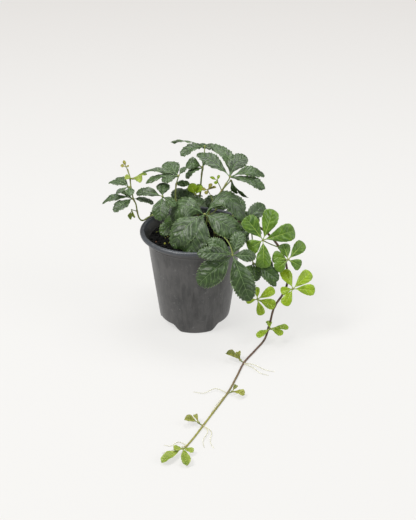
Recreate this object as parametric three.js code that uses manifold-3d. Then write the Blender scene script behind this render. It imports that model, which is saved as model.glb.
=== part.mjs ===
import * as THREE from "three";
import { mergeVertices } from "three/addons/utils/BufferGeometryUtils.js";
import Module from "manifold-3d";

const wasm = await Module();
wasm.setup();

// Driving dimensions, in millimetres. The origin is on the pot's axis, on the surface that it stands on.
const gap = 0.3; // left between pieces that touch

const potHeight = 97.5;
const lipRadius = 52.5; // outside of the lip
const lipBand = 5.3; // height of the lip's outer band
const mouthRadius = 48; // inside of the lip
const bodyTopRadius = 45.9; // outside of the wall under the lip
const bodyFootRadius = 33.8;
const potWall = 1.3;
const potFloor = 1.8;
const potSides = 40;

const footCount = 3;
const footTurn = 3; // degrees that the front foot is turned towards +X
const notchFoot = 37; // width of a notch at the surface
const notchTop = 21; // width of its level top
const notchHeight = 6.5;
const notchEase = 3.5; // how soft its curved sides are
const notchDepth = 7.5;
const notchSteps = 5; // of each curved side
const notchReach = 20; // length of the block that cuts it, from its back out past the wall
const drainRadius = 3;
const drainLength = 8;
const drainSides = 12;
const drainInset = 0.6; // room between a drain hole and the back of its notch
const past = 1; // how far a cut starts outside the surface that it cuts

const soilLevel = 85.5; // mean height of the soil's surface
const soilRipple = 1.3;
const soilRings = 4;
const soilSides = 20; // half of the pot's, so that their corners line up
const soilTrim = 0.3; // how far the surface's block reaches past the wall, as a share of its radius
const soilSeed = 5;
const soilSkin = 6; // depth of that block
const holeDepth = 10; // how far each stem stands in the soil
const holeClear = 0.7; // room round a stem in its hole
const holeSides = 8;

const stemSides = 6;
const stalkSides = 3;
const stalkSteps = 4;
const stalkRadii = [0.72, 0.6]; // leaf stalk, at its stem and at its hub
const hubRadius = 1.75; // knob where the leaflets meet
const footStart = 0.9; // where a leaflet's foot starts, from the hub's middle
const footHalf = 0.5; // half width of that foot
const stalkRise = 0.12; // how far a stalk first follows its stem, as a share of its span
const stalkReach = 0.2; // and how far it then heads for the hub
const stalkSag = 0.3; // how far below the leaf it comes in
const bladeThickness = 1.1; // at the midrib
const edgeThinning = 0.35; // share of it that is lost towards the edge
const toothStart = 0.4; // share of a leaflet's length where its teeth start
const waveHeight = 0.03; // edge wave, as a share of a leaflet's length
const waveTurns = 9; // radians of that wave along a leaflet
const waveStarts = 6; // radians by which the waves of two leaflets may start apart
const tendrilRadius = 0.35;
const tendrilSteps = 5;
const tendrilSides = 3;

const darkGreen = 0x4b644b;
const midGreen = 0x567a3a;
const brightGreen = 0x5f872d;
const limeGreen = 0x7d9b23;
const oliveYellow = 0xa3a544;
const stemGreen = 0x7d8a46;
const stemBrown = 0x5a463c;
const potGrey = 0x4c4c4c;
const soilBlack = 0x1c1713;
const roughness = { pot: 0.55, soil: 0.95, stem: 0.6, leaf: 0.5 };

// Outlines of a leaflet: where it leaves its foot, where it is widest, how fast it swells, how blunt its
// end is, how deep its teeth are, and the places along it where it has a row of vertices.
const closeRows = [0, 0.17, 0.35, 0.52, 0.68, 0.85, 1];
const wideRows = [0, 0.22, 0.44, 0.64, 0.84, 1];
const outlines = {
  large: {
    foot: 0.03, belly: 0.56, swell: 1.15, blunt: 2, tooth: 0.1, columns: 4, rows: closeRows,
  },
  broad: {
    foot: 0.03, belly: 0.58, swell: 1.15, blunt: 2.1, tooth: 0.1, columns: 2, rows: wideRows,
  },
  narrow: {
    foot: 0.03, belly: 0.62, swell: 1.15, blunt: 2.1, tooth: 0.1, columns: 4, rows: closeRows,
  },
  spoon: {
    foot: 0.04, belly: 0.75, swell: 1.19, blunt: 2.7, tooth: 0.02, columns: 2,
    rows: [0, 0.22, 0.46, 0.73, 0.91, 1],
  },
  bud: {
    foot: 0.04, belly: 0.62, swell: 1.12, blunt: 2, tooth: 0, columns: 2, rows: [0, 0.34, 0.7, 1],
  },
};

// Small helpers on vectors and solids.
const weld = 1e-4; // vertices that lie closer than this are one
const vec = (p) => new THREE.Vector3(p[0], p[1], p[2]);
const radians = THREE.MathUtils.degToRad;

function seeded(seed) {
  let state = seed;
  return () => {
    state = (state * 1664525 + 1013904223) % 4294967296;
    return state / 4294967296;
  };
}

function solidOf(geometry) {
  const bare = geometry.clone();
  bare.deleteAttribute("normal");
  bare.deleteAttribute("uv");
  const merged = mergeVertices(bare, weld);
  return new wasm.Manifold(
    new wasm.Mesh({
      numProp: 3,
      vertProperties: new Float32Array(merged.attributes.position.array),
      triVerts: new Uint32Array(merged.index.array),
    }),
  );
}

function geometryOf(solid) {
  const mesh = solid.getMesh();
  const geometry = new THREE.BufferGeometry();
  geometry.setAttribute("position", new THREE.BufferAttribute(mesh.vertProperties, 3));
  geometry.setIndex(new THREE.BufferAttribute(mesh.triVerts, 1));
  geometry.computeVertexNormals();
  return geometry;
}

function geometryFrom(points, triangles) {
  const geometry = new THREE.BufferGeometry();
  const places = points.flatMap((p) => [p.x, p.y, p.z]);
  geometry.setAttribute("position", new THREE.Float32BufferAttribute(places, 3));
  geometry.setIndex(triangles.flat());
  return geometry;
}

function union(solids) {
  return solids.reduce((sum, one) => sum.add(one));
}

function largestBody(solid) {
  return solid.decompose().reduce((best, one) => (one.volume() > best.volume() ? one : best));
}

const group = new THREE.Group();

function addNode(name, solid, colour, rough) {
  const material = new THREE.MeshStandardMaterial({ color: colour, roughness: rough, metalness: 0 });
  const mesh = new THREE.Mesh(geometryOf(solid), material);
  mesh.name = name;
  group.add(mesh);
}

// A closed tube along a curve, whose radius runs from one end's to the other's.
function tubeSolid(curve, startRadius, endRadius, steps, sides) {
  const frames = curve.computeFrenetFrames(steps, false);
  const points = [];
  const triangles = [];
  for (let i = 0; i <= steps; i++) {
    const centre = curve.getPointAt(i / steps);
    const radius = THREE.MathUtils.lerp(startRadius, endRadius, i / steps);
    for (let k = 0; k < sides; k++) {
      const turn = (2 * Math.PI * k) / sides;
      points.push(
        centre
          .clone()
          .addScaledVector(frames.normals[i], radius * Math.cos(turn))
          .addScaledVector(frames.binormals[i], radius * Math.sin(turn)),
      );
    }
  }
  for (let i = 0; i < steps; i++) {
    for (let k = 0; k < sides; k++) {
      const a = i * sides + k;
      const b = i * sides + ((k + 1) % sides);
      triangles.push([a, b, b + sides], [a, b + sides, a + sides]);
    }
  }
  const last = steps * sides;
  for (let k = 1; k < sides - 1; k++) {
    triangles.push([0, k + 1, k], [last, last + k, last + k + 1]);
  }
  return solidOf(geometryFrom(points, triangles));
}

// Half width of a leaflet as a share of its widest, at s from its foot (0) to its tip (1).
function halfWidth(s, outline) {
  if (s < outline.belly) {
    const up = THREE.MathUtils.clamp((s - outline.foot) / (outline.belly - outline.foot), 0, 1);
    return Math.pow(Math.sin((up * Math.PI) / 2), outline.swell);
  }
  const on = (s - outline.belly) / (1 - outline.belly);
  return Math.sqrt(Math.max(0, 1 - Math.pow(on, outline.blunt)));
}

// One leaflet: a thin blade folded on its midrib and bowed along it, with teeth on its outer half.
// Both faces are split into triangles alike and share the vertices of the edge.
function leafletSolid(hub, face, leaflet, outline, phase) {
  const [dx, dy, dz, width, bow = 0.1, fold = 8, roll = 0, arch = 0, sway = 0] = leaflet;
  const columns = outline.columns;
  const reach = new THREE.Vector3(dx, dy, dz);
  const foot = hub.clone().addScaledVector(reach.clone().normalize(), footStart);
  const length = reach.length() - footStart;
  const along = reach.clone().normalize();
  const up = face.clone().addScaledVector(along, -face.dot(along)).normalize();
  up.applyAxisAngle(along, radians(roll));
  const side = new THREE.Vector3().crossVectors(along, up);
  const rows = outline.rows.length - 1;
  const points = [];
  const triangles = [];
  const topRow = [];
  const bottomRow = [];
  outline.rows.forEach((s, j) => {
    const tooth = s > toothStart && j < rows ? 1 + outline.tooth * (j % 2 ? 1 : -1) : 1;
    const half = Math.max((width / 2) * halfWidth(s, outline) * tooth, footHalf);
    const crown = 4 * s * (1 - s); // 0 at both ends and 1 half way
    const centre = foot.clone().addScaledVector(along, s * length);
    centre.addScaledVector(up, bow * length * crown).addScaledVector(side, sway * length * crown);
    centre.z += arch * crown;
    const outward = side.clone().addScaledVector(along, -4 * sway * (1 - 2 * s)).normalize();
    const top = [];
    const bottom = [];
    for (let k = 0; k <= columns; k++) {
      const across = (2 * k) / columns - 1;
      const out = Math.abs(across);
      const wave = out * out * waveHeight * length * Math.sin(waveTurns * s + phase + across);
      const lift = out * half * Math.tan(radians(fold)) + (j === rows ? 0 : wave);
      const point = centre.clone().addScaledVector(outward, across * half).addScaledVector(up, lift);
      const thick = (bladeThickness / 2) * (1 - edgeThinning * out);
      if (j === rows) {
        if (k === 0) points.push(centre);
        top.push(points.length - 1);
        bottom.push(points.length - 1);
      } else if (k === 0 || k === columns) {
        points.push(point);
        top.push(points.length - 1);
        bottom.push(points.length - 1);
      } else {
        points.push(point.clone().addScaledVector(up, thick), point.clone().addScaledVector(up, -thick));
        top.push(points.length - 2);
        bottom.push(points.length - 1);
      }
    }
    topRow.push(top);
    bottomRow.push(bottom);
  });
  const addFace = (a, b, c) => {
    if (a !== b && b !== c && c !== a) triangles.push([a, b, c]);
  };
  for (let j = 0; j < rows; j++) {
    for (let k = 0; k < columns; k++) {
      const [a, b] = [topRow[j][k], topRow[j][k + 1]];
      const [c, d] = [topRow[j + 1][k], topRow[j + 1][k + 1]];
      const [e, f] = [bottomRow[j][k], bottomRow[j][k + 1]];
      const [g, h] = [bottomRow[j + 1][k], bottomRow[j + 1][k + 1]];
      if (k < columns / 2) {
        addFace(a, b, d);
        addFace(a, d, c);
        addFace(e, h, f);
        addFace(e, g, h);
      } else {
        addFace(a, b, c);
        addFace(b, d, c);
        addFace(e, g, f);
        addFace(f, g, h);
      }
    }
  }
  // The foot's end is closed across.
  for (let k = 0; k < columns; k++) {
    addFace(topRow[0][k], bottomRow[0][k], bottomRow[0][k + 1]);
    addFace(topRow[0][k], bottomRow[0][k + 1], topRow[0][k + 1]);
  }
  return solidOf(geometryFrom(points, triangles));
}

// The pot: a tapered shell with a flared lip, three feet and a raised notch between each two of them.
function lathe(profile, sides) {
  const outline = profile.map(([r, z]) => new THREE.Vector2(r, z));
  return solidOf(new THREE.LatheGeometry(outline, sides).rotateX(Math.PI / 2));
}

const lipFoot = potHeight - lipBand;
const lipRound = 1.6; // rounding of the lip's top edges
const lipUnder = 1.2; // flare under the lip
const footRound = 2; // rounding of the foot's edge
const footEase = 0.3; // share of it where the edge has a point between its two ends
const mouthStep = 1.5; // how far below the lip the inside opens out to the mouth
const mouthTaper = 0.5; // how much narrower the mouth is at its bevel's lower edge
const mouthBevel = 0.8; // how far the mouth's top edge opens out
const mouthBevelDepth = 2.2;
const bodySlope = (bodyTopRadius - bodyFootRadius) / lipFoot;
const bodyRadiusAt = (z) => bodyFootRadius + bodySlope * z;

// An arch-topped block on the pot's foot, grown by the wall's thickness where it shapes the inside.
function notchSolid(turn, grow) {
  const half = notchFoot / 2 + grow;
  const level = notchTop / 2;
  const top = notchHeight + grow;
  const shape = new THREE.Shape();
  shape.moveTo(-half, -past);
  shape.lineTo(half, -past);
  shape.bezierCurveTo(half - notchEase, top / 4, level + notchEase, top, level, top);
  shape.lineTo(-level, top);
  shape.bezierCurveTo(-level - notchEase, top, notchEase - half, top / 4, -half, -past);
  const start = bodyFootRadius - notchDepth - grow;
  const cut = { depth: notchReach, bevelEnabled: false, curveSegments: notchSteps };
  const block = new THREE.ExtrudeGeometry(shape, cut);
  block.rotateX(Math.PI / 2).translate(0, -start, 0);
  block.rotateZ(radians(turn));
  return solidOf(block);
}

const notchTurns = Array.from({ length: footCount }, (_, i) => footTurn + (360 / footCount) * (i + 0.5));

function drainSolid(turn) {
  const hole = new THREE.CylinderGeometry(drainRadius, drainRadius, drainLength, drainSides);
  const out = bodyFootRadius - notchDepth + drainInset + drainRadius;
  hole.rotateX(Math.PI / 2).translate(0, -out, notchHeight + potWall / 2);
  return solidOf(hole.rotateZ(radians(turn)));
}

// The inside of the pot, smaller by shrink all round.
function cavitySolid(shrink, top, sides) {
  const floor = potFloor + shrink;
  const radiusAt = (z) => bodyRadiusAt(z) - potWall - shrink;
  const cavity = lathe([[0, floor], [radiusAt(floor), floor], [radiusAt(top), top], [0, top]], sides);
  return notchTurns.reduce((left, turn) => left.subtract(notchSolid(turn, potWall + shrink)), cavity);
}

const lipInside = lipFoot - mouthStep;

function potSolid() {
  const outside = lathe(
    [
      [0, 0],
      [bodyFootRadius - footRound, 0],
      [bodyFootRadius - footEase * footRound, footEase * footRound],
      [bodyFootRadius, footRound],
      [bodyRadiusAt(lipFoot - 2 * lipUnder), lipFoot - 2 * lipUnder],
      [bodyTopRadius + lipUnder, lipFoot - lipUnder],
      [lipRadius - lipRound, lipFoot],
      [lipRadius, lipFoot + lipRound],
      [lipRadius, potHeight - lipRound],
      [lipRadius - lipRound, potHeight],
      [mouthRadius + mouthBevel, potHeight],
      [0, potHeight],
    ],
    potSides,
  );
  const mouth = lathe(
    [
      [0, lipInside - past],
      [bodyRadiusAt(lipInside - past) - potWall, lipInside - past],
      [bodyRadiusAt(lipInside) - potWall, lipInside],
      [mouthRadius - mouthTaper, potHeight - mouthBevelDepth],
      [mouthRadius + mouthBevel, potHeight],
      [mouthRadius + mouthBevel, potHeight + past],
      [0, potHeight + past],
    ],
    potSides,
  );
  let pot = notchTurns.reduce((left, turn) => left.subtract(notchSolid(turn, 0)), outside);
  pot = pot.subtract(cavitySolid(0, lipInside - past / 2, potSides)).subtract(mouth);
  return notchTurns.reduce((left, turn) => left.subtract(drainSolid(turn)), pot);
}

// Stems: points along the middle of each, from its lower end in the soil, with its radius at both ends.
const soilFoot = soilLevel - holeDepth;
const stems = {
  stem_trailing: {
    colour: stemBrown,
    radii: [1.2, 0.7],
    steps: 50,
    points: [
      [22, -4, soilFoot], [22, -4, 86], [26, -5, 98], [36, -8, 108], [50, -13, 111], [66, -20, 106],
      [80, -26, 92], [86.5, -29, 78], [89, -31, 66], [88.5, -33, 53], [84.5, -35, 44], [78, -36, 33.5],
      [75.5, -36.5, 26], [74, -37, 18], [71.5, -39.5, 8.5], [69.5, -43, 3], [66.5, -50, 1.2],
      [58.8, -65, 1.1], [47, -88, 1.1], [40.2, -110, 1.05], [34, -130, 1],
      [30, -141, 1], [18.7, -167, 0.95], [9, -189, 0.95], [1, -207, 0.9], [-6, -221, 0.9],
    ],
    threads: [
      [[46, -89, 1], [55, -94, 3], [65, -100, 1.5], [75, -103, 0.5]],
      [[46, -89, 1], [54, -97, 2], [62, -106, 1], [69, -109, 0.5]],
      [[31, -139, 1], [20, -134, 2.5], [9, -139, 1], [0, -136, 0.5]],
      [[31, -139, 1], [25, -150, 2], [19, -162, 1.4], [15, -173, 0.5]],
      [[9, -189, 1], [13, -199, 2], [9, -211, 1], [10, -220, 0.5]],
      [[9, -189, 1], [16, -199, 1.5], [15, -212, 1], [18, -221, 0.5]],
      [[-4, -218, 1], [-12, -214, 1.6], [-18, -218, 0.8], [-24, -217, 0.5]],
      [[-4, -218, 1], [-13, -222, 1.4], [-19, -226, 0.8], [-25, -228, 0.5]],
    ],
  },
  stem_front: {
    colour: stemGreen,
    radii: [1.1, 0.7],
    steps: 8,
    points: [[18, -14, soilFoot], [18, -14, 87], [19.5, -17, 98], [19, -19.5, 107]],
  },
  stem_right: {
    colour: stemGreen,
    radii: [1.1, 0.7],
    steps: 12,
    points: [[10, 6, soilFoot], [10, 6, 88], [13, 7, 108], [18, 6, 124], [26, 3, 136], [31, 1, 146]],
  },
  stem_middle: {
    colour: stemGreen,
    radii: [1.1, 0.7],
    steps: 12,
    points: [[2, 16, soilFoot], [2, 16, 90], [5, 19, 118], [7, 24, 143], [9, 34, 155]],
  },
  stem_left: {
    colour: stemGreen,
    radii: [1.1, 0.7],
    steps: 12,
    points: [[-12, 0, soilFoot], [-12, 0, 90], [-15, 2, 112], [-18, 4, 130], [-17, 6, 143]],
  },
  stem_over_lip: {
    colour: stemGreen,
    radii: [0.9, 0.6],
    steps: 24,
    points: [
      [-22, 24, soilFoot], [-22, 24, 88], [-28, 27, 95], [-37, 29, 99.6], [-44.5, 23.5, 99.2],
      [-50.5, 15, 99.3], [-53.5, 10.5, 104], [-55.2, 8, 113], [-56, 6, 121], [-58.2, 4.5, 127.5],
      [-60.5, 9, 138], [-61.5, 12, 147], [-63.6, 14, 154],
    ],
  },
  stem_back_left: {
    colour: stemGreen,
    radii: [1.1, 0.7],
    steps: 10,
    points: [[-10, 28, soilFoot], [-10, 28, 89], [-13, 34, 99], [-20, 44, 105]],
  },
  stem_back_right: {
    colour: stemGreen,
    radii: [1.1, 0.7],
    steps: 10,
    points: [[24, 20, soilFoot], [24, 20, 89], [31, 22, 97], [41, 25, 101.5]],
  },
};

for (const stem of Object.values(stems)) {
  stem.curve = new THREE.CatmullRomCurve3(stem.points.map(vec), false, "centripetal");
}

// The nearest place on a stem's middle line to a point.
function nearestOn(curve, point) {
  let best = { distance: Infinity };
  const samples = 400;
  for (let i = 0; i <= samples; i++) {
    const place = curve.getPointAt(i / samples);
    const distance = place.distanceTo(point);
    if (distance < best.distance) best = { distance, place, tangent: curve.getTangentAt(i / samples) };
  }
  return best;
}

// Palmate leaves. The stalk leaves its stem at the place nearest to root and ends at the hub, by way of over
// where it has to clear the lip. Facing is the compass turn and the lean of the leaf's upper side. Each
// leaflet is the reach of its tip from the hub in X, Y and Z, its width, and where it needs them its bow, as
// a share of its length, its fold and its roll about its length, in degrees, how far it arches straight up,
// and its sway, which is a bow to the side as a share of its length.
const leaves = [
  {
    name: "leaf_front_big", stem: "stem_front", colour: darkGreen, outline: "large",
    root: [19, -19, 105], hub: [10, -16, 121], facing: [265, 34],
    leaflets: [
      [-12, -29, -29, 29, 0.14, -4, 0, 0, 0.06], [-29, -22, -25, 25, 0.18, -4, 0, 0, 0.04],
      [-30, 1, -8, 25, 0.24, -6, 0, 0, 0.26], [37, 0, -9, 19, 0.12, -4, -6, 10, -0.26],
      [33, -14, -16, 24, 0.14, -4],
    ],
  },
  {
    name: "leaf_front_low", stem: "stem_front", colour: darkGreen, outline: "large",
    root: [19, -19, 102], hub: [36, -50, 95], facing: [271, 51], over: [34, -45, 112],
    leaflets: [
      [-32, -10, -26, 24, 0.14, -4], [-33, -8, 6, 13, 0.14, 4], [-23, 6, 13, 13, 0.1, 4],
      [8, 15, 17, 14, 0.1, 6], [22, 3, -3, 12, 0.1, 4], [16, -18, -39, 22, 0.12, -6],
    ],
  },
  {
    name: "leaf_top_right", stem: "stem_right", colour: darkGreen, outline: "narrow",
    root: [30, 1.5, 144], hub: [34, 0, 152.5], facing: [280, 24],
    leaflets: [
      [-31, 25, 13, 15, 0.1, 6], [-18, 28, 20, 13, 0.08, 4, 0, 0, 0.2],
      [16, 20, 12, 18, 0.12, 6, 0, 0, -0.1], [33, 6, -2, 13, 0.22, 8], [33, -8, -9, 12, 0.12, 10],
    ],
  },
  {
    name: "leaf_top_left", stem: "stem_middle", colour: darkGreen, outline: "broad",
    root: [9, 33, 154], hub: [10, 42, 166], facing: [90, 27],
    leaflets: [
      [-33, 8, 1, 14, 0.08, 6], [-23, -14, -4, 14, 0.16, 8, -32], [16, 6, -10, 14, 0.1, 8],
      [5, 26, -14, 15, 0.12, 8], [-14, 22, -12, 14, 0.12, 8],
    ],
  },
  {
    name: "leaf_middle", stem: "stem_middle", colour: darkGreen, outline: "broad",
    root: [7, 25, 145], hub: [8, 20, 154], facing: [200, 30],
    leaflets: [
      [-16, 5, 0, 13, 0.28, 12, -20], [-16, -5, -10, 12, 0.14, 10], [8, 15, 4, 10, 0.12, 10],
    ],
  },
  {
    name: "leaf_left_middle", stem: "stem_left", colour: darkGreen, outline: "broad",
    root: [-17, 6, 142], hub: [-15, 8, 150], facing: [260, 10],
    leaflets: [
      [-12, 14, 8, 19, 0.04, 4], [8, 4, 7, 7, 0.1, 8], [-15, -10, -2, 12, 0.16, -4],
      [-31, -3, -7, 9, 0.14, 10], [-34, 4, 2, 7, 0.12, 6],
    ],
  },
  {
    name: "leaf_left_front", stem: "stem_left", colour: darkGreen, outline: "broad",
    root: [-17, 3.5, 124], hub: [-30, -6, 135], facing: [265, 30],
    leaflets: [
      [-2, -18, -17, 16, 0.14, 4], [1, 13, 8, 13, 0.1, 8], [-25, 5, 1, 11, 0.16, 10],
      [13, -5, -8, 9, 0.1, 8],
    ],
  },
  {
    name: "leaf_left_behind", stem: "stem_left", colour: darkGreen, outline: "broad",
    root: [-16, 2, 110], hub: [-11, 9, 117], facing: [265, 30],
    leaflets: [
      [-6, 14, 13, 16, 0.1, 6], [-16, 8, 2, 10, 0.1, 6], [8, 14, 13, 13, 0.1, 6], [21, 2, 5, 12, 0.14, 6],
    ],
  },
  {
    name: "leaf_inside_left", stem: "stem_left", colour: midGreen, outline: "broad",
    root: [-12, 0, 93], hub: [-17, -5, 109], facing: [262, 36],
    leaflets: [
      [-15, -9, -11, 14, 0.1, 4], [-11, 10, -3, 10, 0.1, 6], [1, -18, -14, 12, 0.1, 6],
    ],
  },
  {
    name: "leaf_far_left_low", stem: "stem_over_lip", colour: darkGreen, outline: "broad",
    root: [-57.5, 5, 126], hub: [-58.5, 1.5, 129], facing: [260, 12],
    leaflets: [
      [-17, -17, -6, 13, 0.1, 4], [-29, -3, -4, 9, 0.18, 8], [-15, 14, 2, 7, 0.1, 8],
      [20, -8, -2, 8, 0.1, 8],
    ],
  },
  {
    name: "leaf_far_left_high", stem: "stem_over_lip", colour: darkGreen, outline: "broad",
    root: [-60.3, 8, 136], hub: [-62, 5, 139.5], facing: [250, 12],
    leaflets: [
      [-20, 10, 0, 9, 0.14, 10], [-13, 19, 1, 8, 0.12, 8], [2, -13, -3, 9, 0.12, 6],
      [-12, -8, -4, 6, 0.1, 8],
    ],
  },
  {
    name: "leaf_young_left", stem: "stem_over_lip", colour: midGreen, outline: "spoon",
    root: [-61.3, 11.5, 145], hub: [-58.5, 10, 146], facing: [280, 30],
    leaflets: [
      [9, -1, -1, 9, 0.1, 8], [13, 9, 1, 3.5, 0.1, 8], [-8, 1, 1, 6, 0.1, 8],
    ],
  },
  {
    name: "leaf_bud_left", stem: "stem_over_lip", colour: oliveYellow, outline: "bud",
    root: [-63.6, 14, 153.6], hub: [-65, 13.5, 157], facing: [250, 30],
    leaflets: [
      [-5, 0, 1, 4, 0.1, 8], [-2, 1, 6, 3, 0.1, 8], [3, -1, 1, 3, 0.1, 8],
    ],
  },
  {
    name: "leaf_hanging_left", stem: "stem_over_lip", colour: oliveYellow, outline: "bud",
    root: [-55.1, 8, 112], hub: [-60, 4, 116], facing: [230, 60],
    leaflets: [
      [-1, -3, -9, 5, 0.1, 8], [3, -3, -7, 3, 0.1, 8],
    ],
  },
  {
    name: "leaf_young_middle", stem: "stem_middle", colour: limeGreen, outline: "broad",
    root: [5, 19, 119], hub: [1, 13, 128], facing: [250, 50],
    leaflets: [
      [-4, 2, 11, 10, 0.1, 6], [6, 3, 9, 9, 0.1, 6],
    ],
  },
  {
    name: "leaf_green_middle", stem: "stem_middle", colour: midGreen, outline: "broad",
    root: [6, 21, 128], hub: [-3, 19, 135], facing: [240, 40],
    leaflets: [
      [-14, 0, 2, 7, 0.12, 8], [-7, -5, 5, 6, 0.1, 8],
    ],
  },
  {
    name: "leaf_bud_middle", stem: "stem_right", colour: oliveYellow, outline: "bud",
    root: [18, 6, 124], hub: [13, 11, 134], facing: [260, 30],
    leaflets: [
      [-6, -1, 1, 4, 0.1, 8], [-2, -4, -3, 4, 0.1, 8], [4, 1, 6, 4, 0.1, 8], [8, 2, 2, 3, 0.1, 8],
    ],
  },
  {
    name: "leaf_bud_right", stem: "stem_right", colour: limeGreen, outline: "bud",
    root: [26, 3, 136], hub: [22, 6, 146], facing: [260, 30],
    leaflets: [
      [-7, 1, 3, 3, 0.1, 8], [-2, -4, -2, 4, 0.1, 8], [2, 1, 5, 3, 0.1, 8],
    ],
  },
  {
    name: "leaf_under_top_right", stem: "stem_right", colour: darkGreen, outline: "broad",
    root: [27, 2.5, 138], hub: [35, 9, 144.5], facing: [270, 60],
    leaflets: [
      [6, -2, -13, 7, 0.12, 6, 50], [17, 0, -18, 5, 0.1, 6, 66],
    ],
  },
  {
    name: "leaf_over_lip_right", stem: "stem_front", colour: darkGreen, outline: "broad",
    root: [19.3, -17, 97], hub: [28, -19, 102], facing: [300, 40],
    leaflets: [
      [25, -2, 3, 16, 0.12, 6], [24, -8, -3, 13, 0.1, 6], [14, 9, 2, 12, 0.1, 6],
    ],
  },
  {
    name: "leaf_right_behind", stem: "stem_trailing", colour: darkGreen, outline: "broad",
    root: [38, -12, 113], hub: [47, -3, 105], facing: [285, 44],
    leaflets: [
      [21, 21, 10, 15, 0.1, 4], [9, 3, -8, 9, 0.1, 6], [-9, 20, 21, 15, 0.1, 6],
    ],
  },
  {
    name: "leaf_right_bright", stem: "stem_trailing", colour: brightGreen, outline: "spoon",
    root: [81, -26, 92], hub: [65, -32, 101.5], facing: [282, 62],
    leaflets: [
      [-17, 8, 20, 16, 0.06, 6], [9, 15, 25, 16, 0.08, 6], [30, 9, 6, 17, 0.1, 8],
      [-14, -5, -7, 14, 0.08, 6], [0, -11, -24, 15, 0.08, 6],
    ],
  },
  {
    name: "leaf_right_far", stem: "stem_trailing", colour: brightGreen, outline: "spoon",
    root: [87, -29, 77], hub: [89, -36, 83], facing: [285, 58],
    leaflets: [
      [15, 14, 11, 12, 0.06, 6], [12, -1, -7, 11, 0.06, 6], [-5, 11, 11, 12, 0.06, 6],
      [-15, 3, 2, 12, 0.06, 6], [-12, -5, -8, 11, 0.08, 6],
    ],
  },
  {
    name: "leaf_right_dark", stem: "stem_trailing", colour: midGreen, outline: "broad",
    root: [52, -16, 114], hub: [56, -38, 80], facing: [278, 54],
    leaflets: [
      [19, 2, -5, 13, 0.08, 6], [24, -4, -16, 15, 0.08, 6], [22, -3, -23, 8, 0.08, 6],
      [3, -6, -16, 11, 0.08, 6], [-8, -6, -9, 8, 0.08, 6],
    ],
  },
  {
    name: "leaf_lime_right", stem: "stem_trailing", colour: limeGreen, outline: "spoon",
    root: [88, -34, 48], hub: [94, -44, 56], facing: [278, 55],
    leaflets: [
      [-9, 12, 14, 11, 0.06, 6], [17, 13, 11, 12, 0.06, 6], [21, 2, -3, 11, 0.06, 6],
      [-9, -9, -13, 10, 0.06, 6], [-12, -2, -2, 8, 0.06, 6],
    ],
  },
  {
    name: "leaf_lime_left", stem: "stem_trailing", colour: limeGreen, outline: "spoon",
    root: [81, -36, 31], hub: [60, -52, 49], facing: [270, 60],
    leaflets: [
      [16, 6, 8, 9, 0.06, 6], [17, -2, -6, 10, 0.06, 6], [4, -6, -14, 8, 0.06, 6],
      [-11, 0, -2, 6, 0.06, 6], [-1, 6, 10, 6, 0.06, 6],
    ],
  },
  {
    name: "leaf_lime_low", stem: "stem_trailing", colour: limeGreen, outline: "spoon",
    root: [73, -39, 8], hub: [73, -46, 13], facing: [270, 30],
    leaflets: [
      [-13, -10, -3, 7, 0.08, 8], [12, -7, -2, 7, 0.08, 8], [18, 3, 0, 6, 0.08, 8],
      [-1, 12, 2, 6, 0.08, 8],
    ],
  },
  {
    name: "leaf_surface_first", stem: "stem_trailing", colour: oliveYellow, outline: "spoon",
    root: [47, -88, 1], hub: [43.5, -88, 4], facing: [230, 20],
    leaflets: [
      [-13, 9, 2, 7, 0.14, 10], [-2, 11, 2, 5, 0.1, 8], [-6, 2, 4, 5, 0.1, 8],
    ],
  },
  {
    name: "leaf_surface_second", stem: "stem_trailing", colour: oliveYellow, outline: "spoon",
    root: [31, -139, 1], hub: [35, -140, 3.5], facing: [300, 20],
    leaflets: [
      [11, -4, -1, 7, 0.1, 8], [4, 7, 2, 4, 0.1, 8],
    ],
  },
  {
    name: "leaf_surface_third", stem: "stem_trailing", colour: oliveYellow, outline: "spoon",
    root: [9, -189, 1], hub: [5, -188, 3.5], facing: [230, 20],
    leaflets: [
      [-12, 4, 1, 7, 0.1, 8], [-3, 9, 2, 4, 0.1, 8],
    ],
  },
  {
    name: "leaf_surface_tip", stem: "stem_trailing", colour: limeGreen, outline: "spoon",
    root: [-6, -221, 1], hub: [-8, -225, 3], facing: [270, 10],
    leaflets: [
      [-17, -18, -1, 8, 0.06, 6], [4, -22, -1, 8, 0.06, 6], [9, -5, 0, 6, 0.06, 6],
      [-7, -6, 3, 7, 0.1, 6],
    ],
  },
  {
    name: "leaf_back_left", stem: "stem_back_left", colour: darkGreen, outline: "broad",
    root: [-20, 43, 104.5], hub: [-25, 60, 95], facing: [112, 62],
    leaflets: [
      [-20, 1, -15, 12, 0.1, 6], [-6, 14, -29, 15, 0.12, 6], [12, 17, -18, 12, 0.1, 6],
      [-14, -6, 3, 9, 0.1, 6], [12, 5, 3, 9, 0.1, 6],
    ],
  },
  {
    name: "leaf_back_middle", stem: "stem_back_left", colour: darkGreen, outline: "broad",
    root: [-15, 37, 101], hub: [7, 62, 100], facing: [90, 58],
    leaflets: [
      [-19, 10, -19, 12, 0.1, 6], [0, 17, -28, 17, 0.12, 6], [22, 11, -17, 14, 0.1, 6],
      [-16, -1, 1, 10, 0.1, 6], [16, -1, 1, 10, 0.1, 6],
    ],
  },
  {
    name: "leaf_back_right", stem: "stem_back_right", colour: darkGreen, outline: "broad",
    root: [40, 24.5, 101], hub: [46, 54, 92], facing: [65, 60],
    leaflets: [
      [-14, 17, -16, 13, 0.1, 6], [6, 14, -27, 15, 0.12, 6], [19, 0, -13, 12, 0.1, 6],
    ],
  },
  {
    name: "leaf_side_right", stem: "stem_back_right", colour: darkGreen, outline: "broad",
    root: [41, 25, 101.5], hub: [53, 28, 95], facing: [25, 50],
    leaflets: [
      [4, 17, -15, 12, 0.1, 6], [12, 9, -20, 13, 0.1, 6], [13, -8, -13, 12, 0.1, 6],
    ],
  },
  {
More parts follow.
